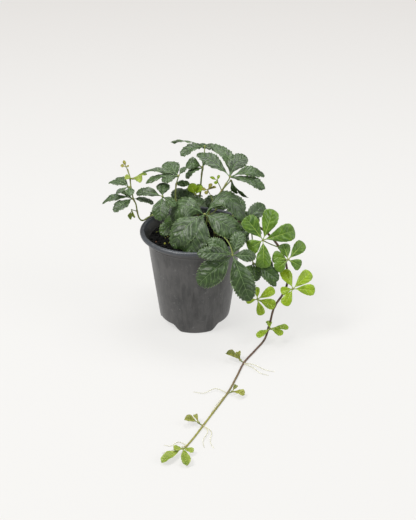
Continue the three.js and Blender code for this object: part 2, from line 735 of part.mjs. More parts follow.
    name: "leaf_behind_left", stem: "stem_middle", colour: darkGreen, outline: "broad",
    root: [3, 17, 104], hub: [-7, 34, 114], facing: [100, 26],
    leaflets: [
      [-19, 6, -4, 13, 0.1, 6], [-9, 22, -7, 15, 0.1, 6], [12, 17, -6, 14, 0.1, 6],
    ],
  },
  {
    name: "leaf_behind_right", stem: "stem_right", colour: darkGreen, outline: "broad",
    root: [13, 7, 107], hub: [21, 17, 110], facing: [265, 38],
    leaflets: [
      [-9, 4, 10, 11, 0.1, 6], [3, 7, 13, 12, 0.1, 6], [15, 4, 7, 12, 0.1, 6],
    ],
  },
];

const stemSolids = {};
const stemClearances = {};
for (const [name, stem] of Object.entries(stems)) {
  const [start, end] = stem.radii;
  const threads = (stem.threads ?? []).map((points) => {
    const curve = new THREE.CatmullRomCurve3(points.map(vec));
    return tubeSolid(curve, tendrilRadius, tendrilRadius, tendrilSteps, tendrilSides);
  });
  stemSolids[name] = union([tubeSolid(stem.curve, start, end, stem.steps, stemSides), ...threads]);
  stemClearances[name] = tubeSolid(stem.curve, start + gap, end + gap, stem.steps, stemSides);
}

// A leaf: its leaflets, the knob where they meet and its stalk, cut clear of its stem.
function leafSolid(leaf, number) {
  const hub = vec(leaf.hub);
  const [turn, lean] = leaf.facing.map(radians);
  const face = new THREE.Vector3(Math.cos(turn), Math.sin(turn), 0).multiplyScalar(Math.sin(lean));
  face.z = Math.cos(lean);
  const random = seeded(number + 1);
  const outline = outlines[leaf.outline];
  const blades = leaf.leaflets.map((leaflet) =>
    leafletSolid(hub, face, leaflet, outline, waveStarts * random()),
  );
  const { place, tangent } = nearestOn(stems[leaf.stem].curve, vec(leaf.root));
  const span = place.distanceTo(hub);
  const away = hub.clone().sub(place).normalize();
  const start = place.clone().addScaledVector(tangent, stalkRise * span);
  start.addScaledVector(away, stalkReach * span);
  const under = leaf.over ? vec(leaf.over) : hub.clone().addScaledVector(face, -stalkSag * span);
  const stalkCurve = new THREE.CubicBezierCurve3(place, start, under, hub);
  const stalk = tubeSolid(stalkCurve, stalkRadii[0], stalkRadii[1], stalkSteps, stalkSides);
  const knob = solidOf(new THREE.OctahedronGeometry(hubRadius, 0).translate(hub.x, hub.y, hub.z));
  return largestBody(union([...blades, knob, stalk]).subtract(stemClearances[leaf.stem]));
}

// Soil: fills the pot, with a rippled surface and a plain round hole for each stem.
function soilSolid() {
  const random = seeded(soilSeed);
  const radius = bodyRadiusAt(soilLevel) - potWall - gap;
  const points = [new THREE.Vector3(0, 0, soilLevel)];
  for (let ring = 1; ring <= soilRings; ring++) {
    for (let k = 0; k < soilSides; k++) {
      const turn = (2 * Math.PI * k) / soilSides;
      const out = (radius * ring) / soilRings;
      const height = soilLevel + soilRipple * (2 * random() - 1);
      points.push(new THREE.Vector3(out * Math.cos(turn), out * Math.sin(turn), height));
    }
  }
  const rim = (1 + soilTrim) * radius; // past the pot's wall, which then trims the block
  const low = soilLevel - soilSkin;
  for (let k = 0; k < soilSides; k++) {
    const turn = (2 * Math.PI * k) / soilSides;
    points.push(new THREE.Vector3(rim * Math.cos(turn), rim * Math.sin(turn), soilLevel));
  }
  for (let k = 0; k < soilSides; k++) {
    const turn = (2 * Math.PI * k) / soilSides;
    points.push(new THREE.Vector3(rim * Math.cos(turn), rim * Math.sin(turn), low));
  }
  points.push(new THREE.Vector3(0, 0, low));
  const triangles = [];
  const at = (ring, k) => 1 + (ring - 1) * soilSides + (k % soilSides);
  for (let k = 0; k < soilSides; k++) {
    triangles.push([0, at(1, k), at(1, k + 1)]);
    for (let ring = 1; ring <= soilRings + 1; ring++) {
      const [a, b, c, d] = [at(ring, k), at(ring + 1, k), at(ring + 1, k + 1), at(ring, k + 1)];
      triangles.push([a, b, c], [a, c, d]);
    }
    triangles.push([at(soilRings + 2, k + 1), at(soilRings + 2, k), points.length - 1]);
  }
  const surface = solidOf(geometryFrom(points, triangles));
  const fill = cavitySolid(gap, soilLevel + 2 * soilRipple, soilSides);
  const above = lathe([[0, low + past], [rim, low + past], [rim, potHeight], [0, potHeight]], soilSides);
  let soil = fill.subtract(above).add(fill.intersect(surface));
  for (const stem of Object.values(stems)) {
    const [x, y] = stem.points[0];
    const radius = (stem.radii[0] + holeClear) / Math.cos(Math.PI / holeSides);
    const hole = new THREE.CylinderGeometry(radius, radius, 2 * holeDepth, holeSides);
    hole.rotateX(Math.PI / 2).translate(x, y, soilFoot - gap + holeDepth);
    soil = soil.subtract(solidOf(hole));
  }
  return soil;
}

addNode("pot", potSolid(), potGrey, roughness.pot);
addNode("soil", soilSolid(), soilBlack, roughness.soil);
for (const [name, stem] of Object.entries(stems)) {
  addNode(name, stemSolids[name], stem.colour, roughness.stem);
}
leaves.forEach((leaf, number) => {
  addNode(leaf.name, leafSolid(leaf, number), leaf.colour, roughness.leaf);
});

export default group;
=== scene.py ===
import math
import random

import bpy
import numpy as np
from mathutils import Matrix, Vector, noise


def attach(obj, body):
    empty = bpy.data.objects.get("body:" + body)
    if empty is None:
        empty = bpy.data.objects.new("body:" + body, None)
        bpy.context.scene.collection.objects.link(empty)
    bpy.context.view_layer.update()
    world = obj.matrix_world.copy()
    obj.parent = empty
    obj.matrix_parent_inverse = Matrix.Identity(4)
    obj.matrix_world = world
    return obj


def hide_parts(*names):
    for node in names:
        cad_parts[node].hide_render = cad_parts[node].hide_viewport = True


print("loading the plant's frame")
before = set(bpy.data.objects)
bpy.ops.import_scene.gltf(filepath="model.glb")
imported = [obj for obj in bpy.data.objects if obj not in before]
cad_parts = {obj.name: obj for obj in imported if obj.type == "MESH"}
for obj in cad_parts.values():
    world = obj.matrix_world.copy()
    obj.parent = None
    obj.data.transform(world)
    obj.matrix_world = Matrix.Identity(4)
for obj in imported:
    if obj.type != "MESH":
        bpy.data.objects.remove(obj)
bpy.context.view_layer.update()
mm = 0.001  # sizes and places below are in millimetres

# Camera, floor and light
print("setting the camera and the light")
camera = {
    "lens": 85,
    "sensor": 36,
    "distance": 1200,
    "tilt": 27.6,  # degrees that it looks down
    "target": (13.2, 0, 63.7),
}
studio = {
    "floorSize": 12000,
    "floorNear": "ebeae8",
    "floorFar": "e5e2df",
    "floorFade": (100, 1500),  # where the one turns into the other, in Y
    "floorGlow": 0.8,  # share of the floor's brightness that no shadow takes away
    "skyColour": (1.0, 0.995, 0.985),
    "skyStrength": 0.36,
    # name: place, size, watts, tint
    "lights": {
        "softKey": ((-900, -500, 1600), 700, 28, (1.0, 0.99, 0.965)),
        "softFill": ((1300, -500, 800), 900, 9.5, (0.97, 0.985, 1.0)),
        "softTop": ((200, 500, 1700), 900, 16, (1.0, 1.0, 1.0)),
    },
}


def paint(text):
    # an sRGB hex code as the linear colour that nodes take
    parts = [int(text[i:i + 2], 16) / 255 for i in (0, 2, 4)]
    return tuple(c / 12.92 if c < 0.04045 else ((c + 0.055) / 1.055) ** 2.4 for c in parts) + (1,)


def aimAt(thing, target):
    away = thing.location - Vector(target) * mm
    thing.rotation_euler = away.to_track_quat("Z", "Y").to_euler()


cameraData = bpy.data.cameras.new("camera")
cameraData.lens = camera["lens"]
cameraData.sensor_width = camera["sensor"]
cameraObject = bpy.data.objects.new("camera", cameraData)
bpy.context.collection.objects.link(cameraObject)
tilt = math.radians(camera["tilt"])
tx, ty, tz = camera["target"]
cameraBack = camera["distance"] * math.cos(tilt)
cameraUp = camera["distance"] * math.sin(tilt)
cameraObject.location = Vector((tx, ty - cameraBack, tz + cameraUp)) * mm
cameraObject.rotation_euler = (math.radians(90) - tilt, 0, 0)
bpy.context.scene.camera = cameraObject
bpy.context.scene.view_settings.view_transform = "Standard"

for name, (place, size, watts, tint) in studio["lights"].items():
    lightData = bpy.data.lights.new(name, "AREA")
    lightData.shape = "DISK"
    lightData.size = size * mm
    lightData.energy = watts
    lightData.color = tint
    light = bpy.data.objects.new(name, lightData)
    light.location = Vector(place) * mm
    bpy.context.collection.objects.link(light)
    aimAt(light, camera["target"])

world = bpy.data.worlds.new("studio")
bpy.context.scene.world = world
world.use_nodes = True
sky = world.node_tree.nodes["Background"]
sky.inputs["Color"].default_value = studio["skyColour"] + (1,)
sky.inputs["Strength"].default_value = studio["skyStrength"]


# Small tools for node trees
def feed(tree, socket, value):
    if isinstance(value, bpy.types.NodeSocket):
        tree.links.new(value, socket)
    elif value is not None:
        socket.default_value = value


def calc(tree, operation, a, b=None, c=None):
    node = tree.nodes.new("ShaderNodeMath")
    node.operation = operation
    for socket, value in zip(node.inputs, (a, b, c)):
        feed(tree, socket, value)
    return node.outputs[0]


def blend(tree, factor, a, b, how="MIX"):
    node = tree.nodes.new("ShaderNodeMix")
    node.data_type = "RGBA"
    node.blend_type = how
    feed(tree, node.inputs[0], factor)
    feed(tree, node.inputs[6], a)
    feed(tree, node.inputs[7], b)
    return node.outputs[2]


def layOn(tree, colour, mask, share, tint):
    # a tint where the mask is, as strong as its share
    return blend(tree, calc(tree, "MULTIPLY", mask, share), colour, paint(tint))


def span(tree, value, low, high, start=0.0, end=1.0):
    node = tree.nodes.new("ShaderNodeMapRange")
    node.interpolation_type = "SMOOTHSTEP"
    for socket, part in zip(node.inputs, (value, low, high, start, end)):
        feed(tree, socket, part)
    return node.outputs[0]


def objectPlace(tree):
    return tree.nodes.new("ShaderNodeTexCoord").outputs["Object"]


def split(tree, vector):
    node = tree.nodes.new("ShaderNodeSeparateXYZ")
    tree.links.new(vector, node.inputs[0])
    return node.outputs


def grain(tree, scale, detail, where=None, rough=0.55):
    node = tree.nodes.new("ShaderNodeTexNoise")
    feed(tree, node.inputs["Scale"], scale)
    node.inputs["Detail"].default_value = detail
    node.inputs["Roughness"].default_value = rough
    tree.links.new(objectPlace(tree) if where is None else where, node.inputs["Vector"])
    return node.outputs[0]


def meshCoord(tree, name):
    node = tree.nodes.new("ShaderNodeAttribute")
    node.attribute_name = name
    return split(tree, node.outputs["Vector"])


def newGroup(name, inputs):
    tree = bpy.data.node_groups.new(name, "ShaderNodeTree")
    for label, value in inputs.items():
        socket = tree.interface.new_socket(name=label, in_out="INPUT", socket_type="NodeSocketFloat")
        socket.default_value = value
    return tree, tree.nodes.new("NodeGroupInput").outputs


def giveOut(tree, values):
    for label in values:
        tree.interface.new_socket(name=label, in_out="OUTPUT", socket_type="NodeSocketFloat")
    made = tree.nodes.new("NodeGroupOutput").inputs
    for label, value in values.items():
        tree.links.new(value, made[label])


def placeGroup(tree, group, values):
    node = tree.nodes.new("ShaderNodeGroup")
    node.node_tree = group
    for label, value in values.items():
        feed(tree, node.inputs[label], value)
    return node.outputs


def newMaterial(name):
    material = bpy.data.materials.new(name)
    material.use_nodes = True
    tree = material.node_tree
    return material, tree, tree.nodes["Principled BSDF"].inputs


def bump(tree, shader, height, distance, strength):
    node = tree.nodes.new("ShaderNodeBump")
    node.inputs["Strength"].default_value = strength
    node.inputs["Distance"].default_value = distance * mm
    tree.links.new(height, node.inputs["Height"])
    tree.links.new(node.outputs[0], shader["Normal"])


# Shared effects. A leaflet's leafCoord holds its vein count, its place across (0 to 1) and along; leafSize
# holds its half width, a random number and 1 on the upper side.
print("building the shared surface effects")
veining = {
    "strayScale": 260.0,
    "stray": 0.3,  # how far a side vein strays from its curve
    "fadeOut": (1.0, 0.55),  # the place across where the side veins end, and where they are whole
    "ribTaper": (1.05, 0.1, 0.25, 1.0),  # from the tip to the foot, and the rib's share of its width there
    "ribEdge": (1.0, 0.3),
    "netEdge": (0.12, 0.0),
    "margin": (0.93, 1.0),
    "crinkleScale": 300.0,
    "dome": 0.6,  # under 1, the surface between two veins has a flatter top
    "netDepth": -0.06,
    "ribDepth": -0.9,
    "fleckScale": 360.0,
    "fleckEdge": (0.48, 0.68),
    "fleckAcross": (0.15, 0.85),
}
leafVeins, given = newGroup(
    "leafVeins",
    {"Vein Width": 0.12, "Rib Width": 0.5, "Net Scale": 900.0, "Crinkle": 1.0},
)
veinCount, across, along = meshCoord(leafVeins, "leafCoord")
halfWide, _, _ = meshCoord(leafVeins, "leafSize")
stray = grain(leafVeins, veining["strayScale"], detail=2)
wobble = calc(leafVeins, "MULTIPLY_ADD", stray, veining["stray"], veinCount)
fromVein = calc(leafVeins, "PINGPONG", wobble, 0.5)
fade = span(leafVeins, across, *veining["fadeOut"])
vein = calc(leafVeins, "MULTIPLY", span(leafVeins, fromVein, given["Vein Width"], 0.0), fade)
fromRib = calc(leafVeins, "MULTIPLY", across, halfWide)
ribHere = calc(leafVeins, "MULTIPLY", given["Rib Width"], span(leafVeins, along, *veining["ribTaper"]))
rib = span(leafVeins, calc(leafVeins, "DIVIDE", fromRib, ribHere), *veining["ribEdge"])
cells = leafVeins.nodes.new("ShaderNodeTexVoronoi")
cells.feature = "DISTANCE_TO_EDGE"
leafVeins.links.new(objectPlace(leafVeins), cells.inputs["Vector"])
leafVeins.links.new(given["Net Scale"], cells.inputs["Scale"])
net = span(leafVeins, cells.outputs["Distance"], *veining["netEdge"])
margin = span(leafVeins, across, *veining["margin"])
crinkle = grain(leafVeins, veining["crinkleScale"], detail=2)
dome = calc(leafVeins, "POWER", calc(leafVeins, "MULTIPLY", fromVein, 2.0), veining["dome"])
relief = calc(leafVeins, "MULTIPLY_ADD", dome, fade, calc(leafVeins, "MULTIPLY", net, veining["netDepth"]))
relief = calc(leafVeins, "MULTIPLY_ADD", crinkle, given["Crinkle"], relief)
relief = calc(leafVeins, "MULTIPLY_ADD", rib, veining["ribDepth"], relief)
flecks = span(leafVeins, grain(leafVeins, veining["fleckScale"], detail=3, rough=0.6), *veining["fleckEdge"])
flecks = calc(leafVeins, "MULTIPLY", flecks, span(leafVeins, across, *veining["fleckAcross"]))
giveOut(
    leafVeins,
    {"Rib": rib, "Vein": vein, "Net": net, "Margin": margin, "Flecks": flecks, "Height": relief},
)

mottling = {
    "patchEdge": (0.32, 0.68),
    "speckFiner": 9.0,  # than the patches
    "speckEdge": (0.6, 0.74),
    "dustAndSheenFiner": 2.3,
    "dustAndSheenEdge": (0.25, 0.75),
    "dustAndSheenSlope": (0.1, 0.95),  # dust and painted sheen lie where the surface faces up by as much
}
mottle, given = newGroup("mottle", {"Scale": 90.0})
patches = span(mottle, grain(mottle, given["Scale"], detail=4), *mottling["patchEdge"])
speckScale = calc(mottle, "MULTIPLY", given["Scale"], mottling["speckFiner"])
specks = span(mottle, grain(mottle, speckScale, detail=2), *mottling["speckEdge"])
# partly dust and partly painted sheen: a grey veil on faces that look up, standing in for the bright sky's
# reflection
normal = mottle.nodes.new("ShaderNodeNewGeometry").outputs["Normal"]
facingUp = span(mottle, split(mottle, normal)[2], *mottling["dustAndSheenSlope"])
dustAndSheenScale = calc(mottle, "MULTIPLY", given["Scale"], mottling["dustAndSheenFiner"])
dustAndSheen = span(mottle, grain(mottle, dustAndSheenScale, detail=5, rough=0.7), *mottling["dustAndSheenEdge"])
dustAndSheen = calc(mottle, "MULTIPLY", facingUp, dustAndSheen)
# the Dust output carries this mix of dust and painted sheen
giveOut(mottle, {"Patches": patches, "Specks": specks, "Dust": dustAndSheen})

# A stem's stemCoord holds its place along, its place round and how close a joint is.
barking = {"lineEdge": (0.35, 0.65), "jointHeight": 0.5}
barkGrain, given = newGroup("barkGrain", {"Lines": 9.0, "Reach": 60.0})
alongStem, roundStem, nearJoint = meshCoord(barkGrain, "stemCoord")
stretched = barkGrain.nodes.new("ShaderNodeCombineXYZ")
barkGrain.links.new(calc(barkGrain, "MULTIPLY", alongStem, given["Reach"]), stretched.inputs[0])
barkGrain.links.new(calc(barkGrain, "MULTIPLY", roundStem, given["Lines"]), stretched.inputs[1])
lines = span(barkGrain, grain(barkGrain, 1.0, 4, stretched.outputs[0]), *barking["lineEdge"])
height = calc(barkGrain, "MULTIPLY_ADD", nearJoint, barking["jointHeight"], lines)
giveOut(barkGrain, {"Lines": lines, "Joint": nearJoint, "Height": height})

# mask: scale, detail, roughness, the edges that make it crisp, and whether it is drawn out along Z
wearMasks = {
    "Clouds": (26.0, 5, 0.65, (0.3, 0.7), False),
    "Scuffs": (190.0, 5, 0.75, (0.58, 0.72), False),
    "Marks": (85.0, 4, 0.6, (0.56, 0.66), True),
    "Streaks": (300.0, 4, 0.6, (0.36, 0.66), True),
    "Dust": (420.0, 1, 0.55, (0.79, 0.83), False),
    "Height": (1500.0, 2, 0.55, None, False),
}
drawnOut = (1, 1, 0.22)
plasticWear, given = newGroup("plasticWear", {"Scale": 1.0})
drawn = plasticWear.nodes.new("ShaderNodeVectorMath")
drawn.operation = "MULTIPLY"
drawn.inputs[1].default_value = drawnOut
plasticWear.links.new(objectPlace(plasticWear), drawn.inputs[0])
masks = {}
for label, (scale, detail, rough, edges, runsDown) in wearMasks.items():
    scaled = calc(plasticWear, "MULTIPLY", given["Scale"], scale)
    mask = grain(plasticWear, scaled, detail, drawn.outputs[0] if runsDown else None, rough)
    masks[label] = span(plasticWear, mask, *edges) if edges else mask
giveOut(plasticWear, masks)

# Leaf finishes
# Each look's grey veil colour and its share are partly dust and partly painted sheen where the blades face
# up.
leafLooks = {
    "leaf_dark": {
        "deep": "0a1a04", "light": "2f4a15", "vein": "6e8a52", "rib": "7a945f", "dustAndSheen": "81917a",
        "margin": "849c64", "fleck": "86a168", "under": "4d6a35", "underVein": "7a9160",
        "dustAndSheenShare": 0.2, "veiny": 0.42, "flecked": 0.22, "rough": (0.37, 0.48), "glow": 0.0,
    },
    "leaf_mid": {
        "deep": "122b02", "light": "3c6110", "vein": "688a34", "rib": "76944a", "dustAndSheen": "7f9170",
        "margin": "7f9a50", "fleck": "88a850", "under": "58792f", "underVein": "86a05d",
        "dustAndSheenShare": 0.18, "veiny": 0.42, "flecked": 0.24, "rough": (0.37, 0.48), "glow": 0.0,
    },
    "leaf_bright": {
        "deep": "264a00", "light": "587b08", "vein": "7c9d2c", "rib": "8ba752", "dustAndSheen": "8b9d58",
        "margin": "8da84a", "fleck": "98b44a", "under": "668829", "underVein": "8fa757",
        "dustAndSheenShare": 0.12, "veiny": 0.36, "flecked": 0.28, "rough": (0.37, 0.48), "glow": 0.05,
    },
    "leaf_lime": {
        "deep": "5f7c04", "light": "88a406", "vein": "a8be1c", "rib": "b0c24c", "dustAndSheen": "a3b43c",
        "margin": "a9be2e", "fleck": "b0c440", "under": "88a30e", "underVein": "a9bc46",
        "dustAndSheenShare": 0.06, "veiny": 0.36, "flecked": 0.26, "rough": (0.34, 0.48), "glow": 0.14,
    },
    "leaf_young": {
        "deep": "4d6a0e", "light": "8fa03a", "vein": "a0ac50", "rib": "aab45a", "dustAndSheen": "a0a668",
        "margin": "a6ad54", "fleck": "a9a95c", "under": "8a9a3e", "underVein": "a9b05c",
        "dustAndSheenShare": 0.08, "veiny": 0.36, "flecked": 0.4, "rough": (0.36, 0.5), "glow": 0.08,
    },
    "leaf_curled": {
        "deep": "4d5a16", "light": "8f953c", "vein": "a3a450", "rib": "a6a456", "dustAndSheen": "9b9766",
        "margin": "9a8e4c", "fleck": "8a6c40", "under": "7d7d3c", "underVein": "97935a",
        "dustAndSheenShare": 0.1, "veiny": 0.35, "flecked": 0.5, "rough": (0.42, 0.54), "glow": 0.03,
    },
    "leaf_olive": {
        "deep": "6a6714", "light": "93902f", "vein": "adab5c", "rib": "bbb56c", "dustAndSheen": "a09f72",
        "margin": "a8a253", "fleck": "b0a860", "under": "98954f", "underVein": "b4af70",
        "dustAndSheenShare": 0.12, "veiny": 0.35, "flecked": 0.2, "rough": (0.42, 0.54), "glow": 0.04,
    },
}
leafShares = {
    "veinWidth": 0.14,  # of the room between two veins
    "ribWidth": 0.5,
    "patchScale": 90.0,
    "tone": 0.5,  # how much of the tone is each leaflet's own, and how much its patches'
    "net": 0.08,
    "rib": 0.7,
    "margin": 0.65,
    "underPatches": 0.3,
    "sideEdge": (0.3, 0.7),  # from the lower side to the upper
    "bump": (0.3, 0.8),
}


def leafFinish(name, look):
    material, tree, shader = newMaterial(name)
    widths = {"Vein Width": leafShares["veinWidth"], "Rib Width": leafShares["ribWidth"]}
    veins = placeGroup(tree, leafVeins, widths)
    spots = placeGroup(tree, mottle, {"Scale": leafShares["patchScale"]})
    _, luck, upper = meshCoord(tree, "leafSize")
    patches = calc(tree, "MULTIPLY", spots["Patches"], leafShares["tone"])
    tone = calc(tree, "MULTIPLY_ADD", luck, leafShares["tone"], patches)
    top = blend(tree, tone, paint(look["deep"]), paint(look["light"]))
    top = layOn(tree, top, veins["Net"], leafShares["net"], look["vein"])
    # partly dust and partly painted sheen: a greyish veil where the blade faces up
    top = layOn(tree, top, spots["Dust"], look["dustAndSheenShare"], look["dustAndSheen"])
    top = layOn(tree, top, veins["Vein"], look["veiny"], look["vein"])
    top = layOn(tree, top, veins["Rib"], leafShares["rib"], look["rib"])
    top = layOn(tree, top, veins["Flecks"], look["flecked"], look["fleck"])
    top = layOn(tree, top, veins["Margin"], leafShares["margin"], look["margin"])
    under = layOn(tree, paint(look["under"]), spots["Patches"], leafShares["underPatches"], look["light"])
    raised = calc(tree, "MAXIMUM", veins["Vein"], veins["Rib"])
    under = blend(tree, raised, under, paint(look["underVein"]))
    both = blend(tree, span(tree, upper, *leafShares["sideEdge"]), under, top)
    tree.links.new(both, shader["Base Color"])
    if look["glow"]:
        # light that comes through the thin young blades
        tree.links.new(both, shader["Emission Color"])
        shader["Emission Strength"].default_value = look["glow"]
    tree.links.new(span(tree, spots["Dust"], 0.0, 1.0, *look["rough"]), shader["Roughness"])
    bump(tree, shader, veins["Height"], *leafShares["bump"])
    return material


leafMaterials = {name: leafFinish(name, look) for name, look in leafLooks.items()}


# Stem finishes
stemLooks = {
    "stem_green": {"low": "7c8744", "high": "98a258", "line": "5f6c34", "joint": "8b7a4a", "rough": 0.5},
    "stem_brown": {"low": "553f37", "high": "6a5340", "line": "3b2a26", "joint": "7c6650", "rough": 0.55},
    "stalk": {"low": "6f7f3e", "high": "88974f", "line": "5d6b32", "joint": "857548", "rough": 0.5},
    "tendril": {"low": "bfbda0", "high": "cfcdb2", "line": "b2b092", "joint": "b4ae88", "rough": 0.5},
    "ribDark": {"low": "5f794a", "high": "758f5c", "line": "536d3e", "joint": "86975a", "rough": 0.45},
    "ribLight": {"low": "93ac44", "high": "a8bd5a", "line": "86a03a", "joint": "b0bd62", "rough": 0.45},
}
ribOf = {"leaf_dark": "ribDark", "leaf_mid": "ribDark"}  # ribLight on all the others
trailingTip = {"start": 0.62, "end": 0.92, "colour": "8d8c3e"}  # where the brown stem turns olive
barkShares = {
    "lines": 7.0,
    "reach": 90.0,
    "groove": (0.35, 0.0),
    "grooved": 0.55,
    "jointed": 0.6,
    "grooveRough": 0.12,  # added to the roughness between the lines
    "bump": (0.08, 0.6),
}


def stemFinish(name, look):
    material, tree, shader = newMaterial(name)
    bark = placeGroup(tree, barkGrain, {"Lines": barkShares["lines"], "Reach": barkShares["reach"]})
    colour = blend(tree, bark["Lines"], paint(look["low"]), paint(look["high"]))
    if name == "stem_brown":
        alongStem, _, _ = meshCoord(tree, "stemCoord")
        young = span(tree, alongStem, trailingTip["start"], trailingTip["end"])
        colour = blend(tree, young, colour, paint(trailingTip["colour"]))
    grooves = span(tree, bark["Lines"], *barkShares["groove"])
    colour = layOn(tree, colour, grooves, barkShares["grooved"], look["line"])
    colour = layOn(tree, colour, bark["Joint"], barkShares["jointed"], look["joint"])
    tree.links.new(colour, shader["Base Color"])
    dull = look["rough"] + barkShares["grooveRough"]
    tree.links.new(span(tree, bark["Lines"], 0.0, 1.0, dull, look["rough"]), shader["Roughness"])
    bump(tree, shader, bark["Height"], *barkShares["bump"])
    return material


stemMaterials = {name: stemFinish(name, look) for name, look in stemLooks.items()}


# Tools for meshes. A form is a dictionary with its points, its faces, its kind, which is the number of its
# material on the piece, and layers that hold a triple for each point.
meshLayers = ("leafCoord", "leafSize", "stemCoord")


def unit(v):
    return v / np.linalg.norm(v)


def joinForms(forms):
    points, faces, kinds, layers = [], [], [], {name: [] for name in meshLayers}
    start = 0
    for form in forms:
        points.append(form["points"])
        faces += [tuple(start + i for i in face) for face in form["faces"]]
        kinds += [form["kind"]] * len(form["faces"])
        start += len(form["points"])
        for name in meshLayers:
            layers[name].append(form.get(name, np.zeros((len(form["points"]), 3))))
    return np.vstack(points), faces, kinds, {name: np.vstack(parts) for name, parts in layers.items()}


def ridePiece(piece, nodes):
    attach(piece, "root")
    if nodes:
        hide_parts(*nodes)


def makePiece(name, forms, materials, nodes, sharp=50):
    points, faces, kinds, layers = joinForms(forms)
    mesh = bpy.data.meshes.new(name)
    mesh.from_pydata((points * mm).tolist(), [], faces)
    for label, values in layers.items():
        if values.any():
            layer = mesh.attributes.new(label, "FLOAT_VECTOR", "POINT")
            layer.data.foreach_set("vector", values.astype(np.float32).ravel())
    for material in materials:
        mesh.materials.append(material)
    mesh.polygons.foreach_set("material_index", kinds)
    mesh.shade_smooth()
    mesh.set_sharp_from_angle(angle=math.radians(sharp))
    piece = bpy.data.objects.new(name, mesh)
    bpy.context.collection.objects.link(piece)
    ridePiece(piece, nodes)


samplesPerSpan = 40  # of a spline, between two of its points


def splinePoint(points, place):
    # a centripetal spline, the same as the stems' solids follow
    last = len(points) - 1
    i = min(int(place * last), last - 1)
    t = place * last - i
    p1, p2 = points[i], points[i + 1]
    p0 = points[i - 1] if i > 0 else 2 * points[0] - points[1]
    p3 = points[i + 2] if i + 2 <= last else 2 * points[last] - points[last - 1]
    d0, d1, d2 = (math.sqrt(np.linalg.norm(b - a)) for a, b in ((p0, p1), (p1, p2), (p2, p3)))
    m1 = ((p1 - p0) / d0 - (p2 - p0) / (d0 + d1) + (p2 - p1) / d1) * d1
    m2 = ((p2 - p1) / d1 - (p3 - p1) / (d1 + d2) + (p3 - p2) / d2) * d1
    return p1 + m1 * t + (3 * (p2 - p1) - 2 * m1 - m2) * t ** 2 + (2 * (p1 - p2) + m1 + m2) * t ** 3


def lengthsAlong(path):
    return np.concatenate([[0], np.cumsum(np.linalg.norm(np.diff(path, axis=0), axis=1))])


def evenPath(points, steps):
    points = [np.array(p, float) for p in points]
    dense = samplesPerSpan * (len(points) - 1)
    raw = np.array([splinePoint(points, i / dense) for i in range(dense + 1)])
    lengths = lengthsAlong(raw)
    wanted = np.linspace(0, lengths[-1], steps + 1)
    return np.stack([np.interp(wanted, lengths, raw[:, k]) for k in range(3)], axis=1)


def bezier(a, b, c, d, steps):
    t = np.linspace(0, 1, steps + 1)[:, None]
    return (1 - t) ** 3 * a + 3 * (1 - t) ** 2 * t * b + 3 * (1 - t) * t ** 2 * c + t ** 3 * d


tubeEnds = (0.4, 0.7)  # how far its ends stand out, as shares of the radius


def tube(path, radii, sides, kind, joints):
    tangents = np.gradient(path, axis=0)
    tangents /= np.linalg.norm(tangents, axis=1)[:, None]
    start = np.array((1.0, 0, 0)) if abs(tangents[0][0]) < 0.8 else np.array((0, 1.0, 0))
    normal = unit(np.cross(tangents[0], start))
    turns = np.arange(sides) * 2 * math.pi / sides
    lengths = lengthsAlong(path)
    points, coords = [], []
    for i, centre in enumerate(path):
        normal = unit(normal - tangents[i] * normal.dot(tangents[i]))
        across = np.cross(tangents[i], normal)
        ring = np.outer(np.cos(turns), normal) + np.outer(np.sin(turns), across)
        points.append(centre + radii[i] * ring)
        place = lengths[i] / lengths[-1]
        coords += [(place, abs(2 * k / sides - 1), joints[i]) for k in range(sides)]
    footEnd = path[0] - tubeEnds[0] * radii[0] * tangents[0]
    tipEnd = path[-1] + tubeEnds[1] * radii[-1] * tangents[-1]
    points.append(np.array([footEnd, tipEnd]))
    coords += [(0, 0, 0), (1, 0, 0)]
    last = (len(path) - 1) * sides
    foot = last + sides
    faces = []
    for a in range(0, last, sides):
        for k in range(sides):
            on = (k + 1) % sides
            faces.append((a + k, a + on, a + on + sides, a + k + sides))
    for k in range(sides):
        on = (k + 1) % sides
        faces.append((foot, on, k))
        faces.append((foot + 1, last + k, last + on))
    return {"points": np.vstack(points), "faces": faces, "kind": kind, "stemCoord": np.array(coords)}


def cappedRings(rings, sides):
    # faces over one point, rings of points, and one point
    last = 1 + rings * sides
    faces = []
    for k in range(sides):
        on = (k + 1) % sides
        faces.append((0, 1 + k, 1 + on))
        for a in range(1, last - sides, sides):
            faces.append((a + k, a + sides + k, a + sides + on, a + on))
        faces.append((last - sides + k, last, last - sides + on))
    return faces


knob = {"rows": 6, "sides": 10, "lumps": 0.12, "coord": (0.5, 0.3, 0.6)}


def ball(centre, radius, seed, kind, squash):
    # a small lumpy knob
    rows, sides = knob["rows"], knob["sides"]
    luck = random.Random(seed)
    points = [(0, 0, radius * squash)]
    for j in range(1, rows):
        lean = math.pi * j / rows
        for k in range(sides):
            turn = 2 * math.pi * k / sides
            here = radius * (1 + knob["lumps"] * (2 * luck.random() - 1))
            flat = here * math.sin(lean)
            points.append((flat * math.cos(turn), flat * math.sin(turn), here * squash * math.cos(lean)))
    points.append((0, 0, -radius * squash))
    return {
        "points": np.array(points) + centre,
        "faces": cappedRings(rows - 1, sides),
        "kind": kind,
        "stemCoord": np.tile(knob["coord"], (len(points), 1)),
    }


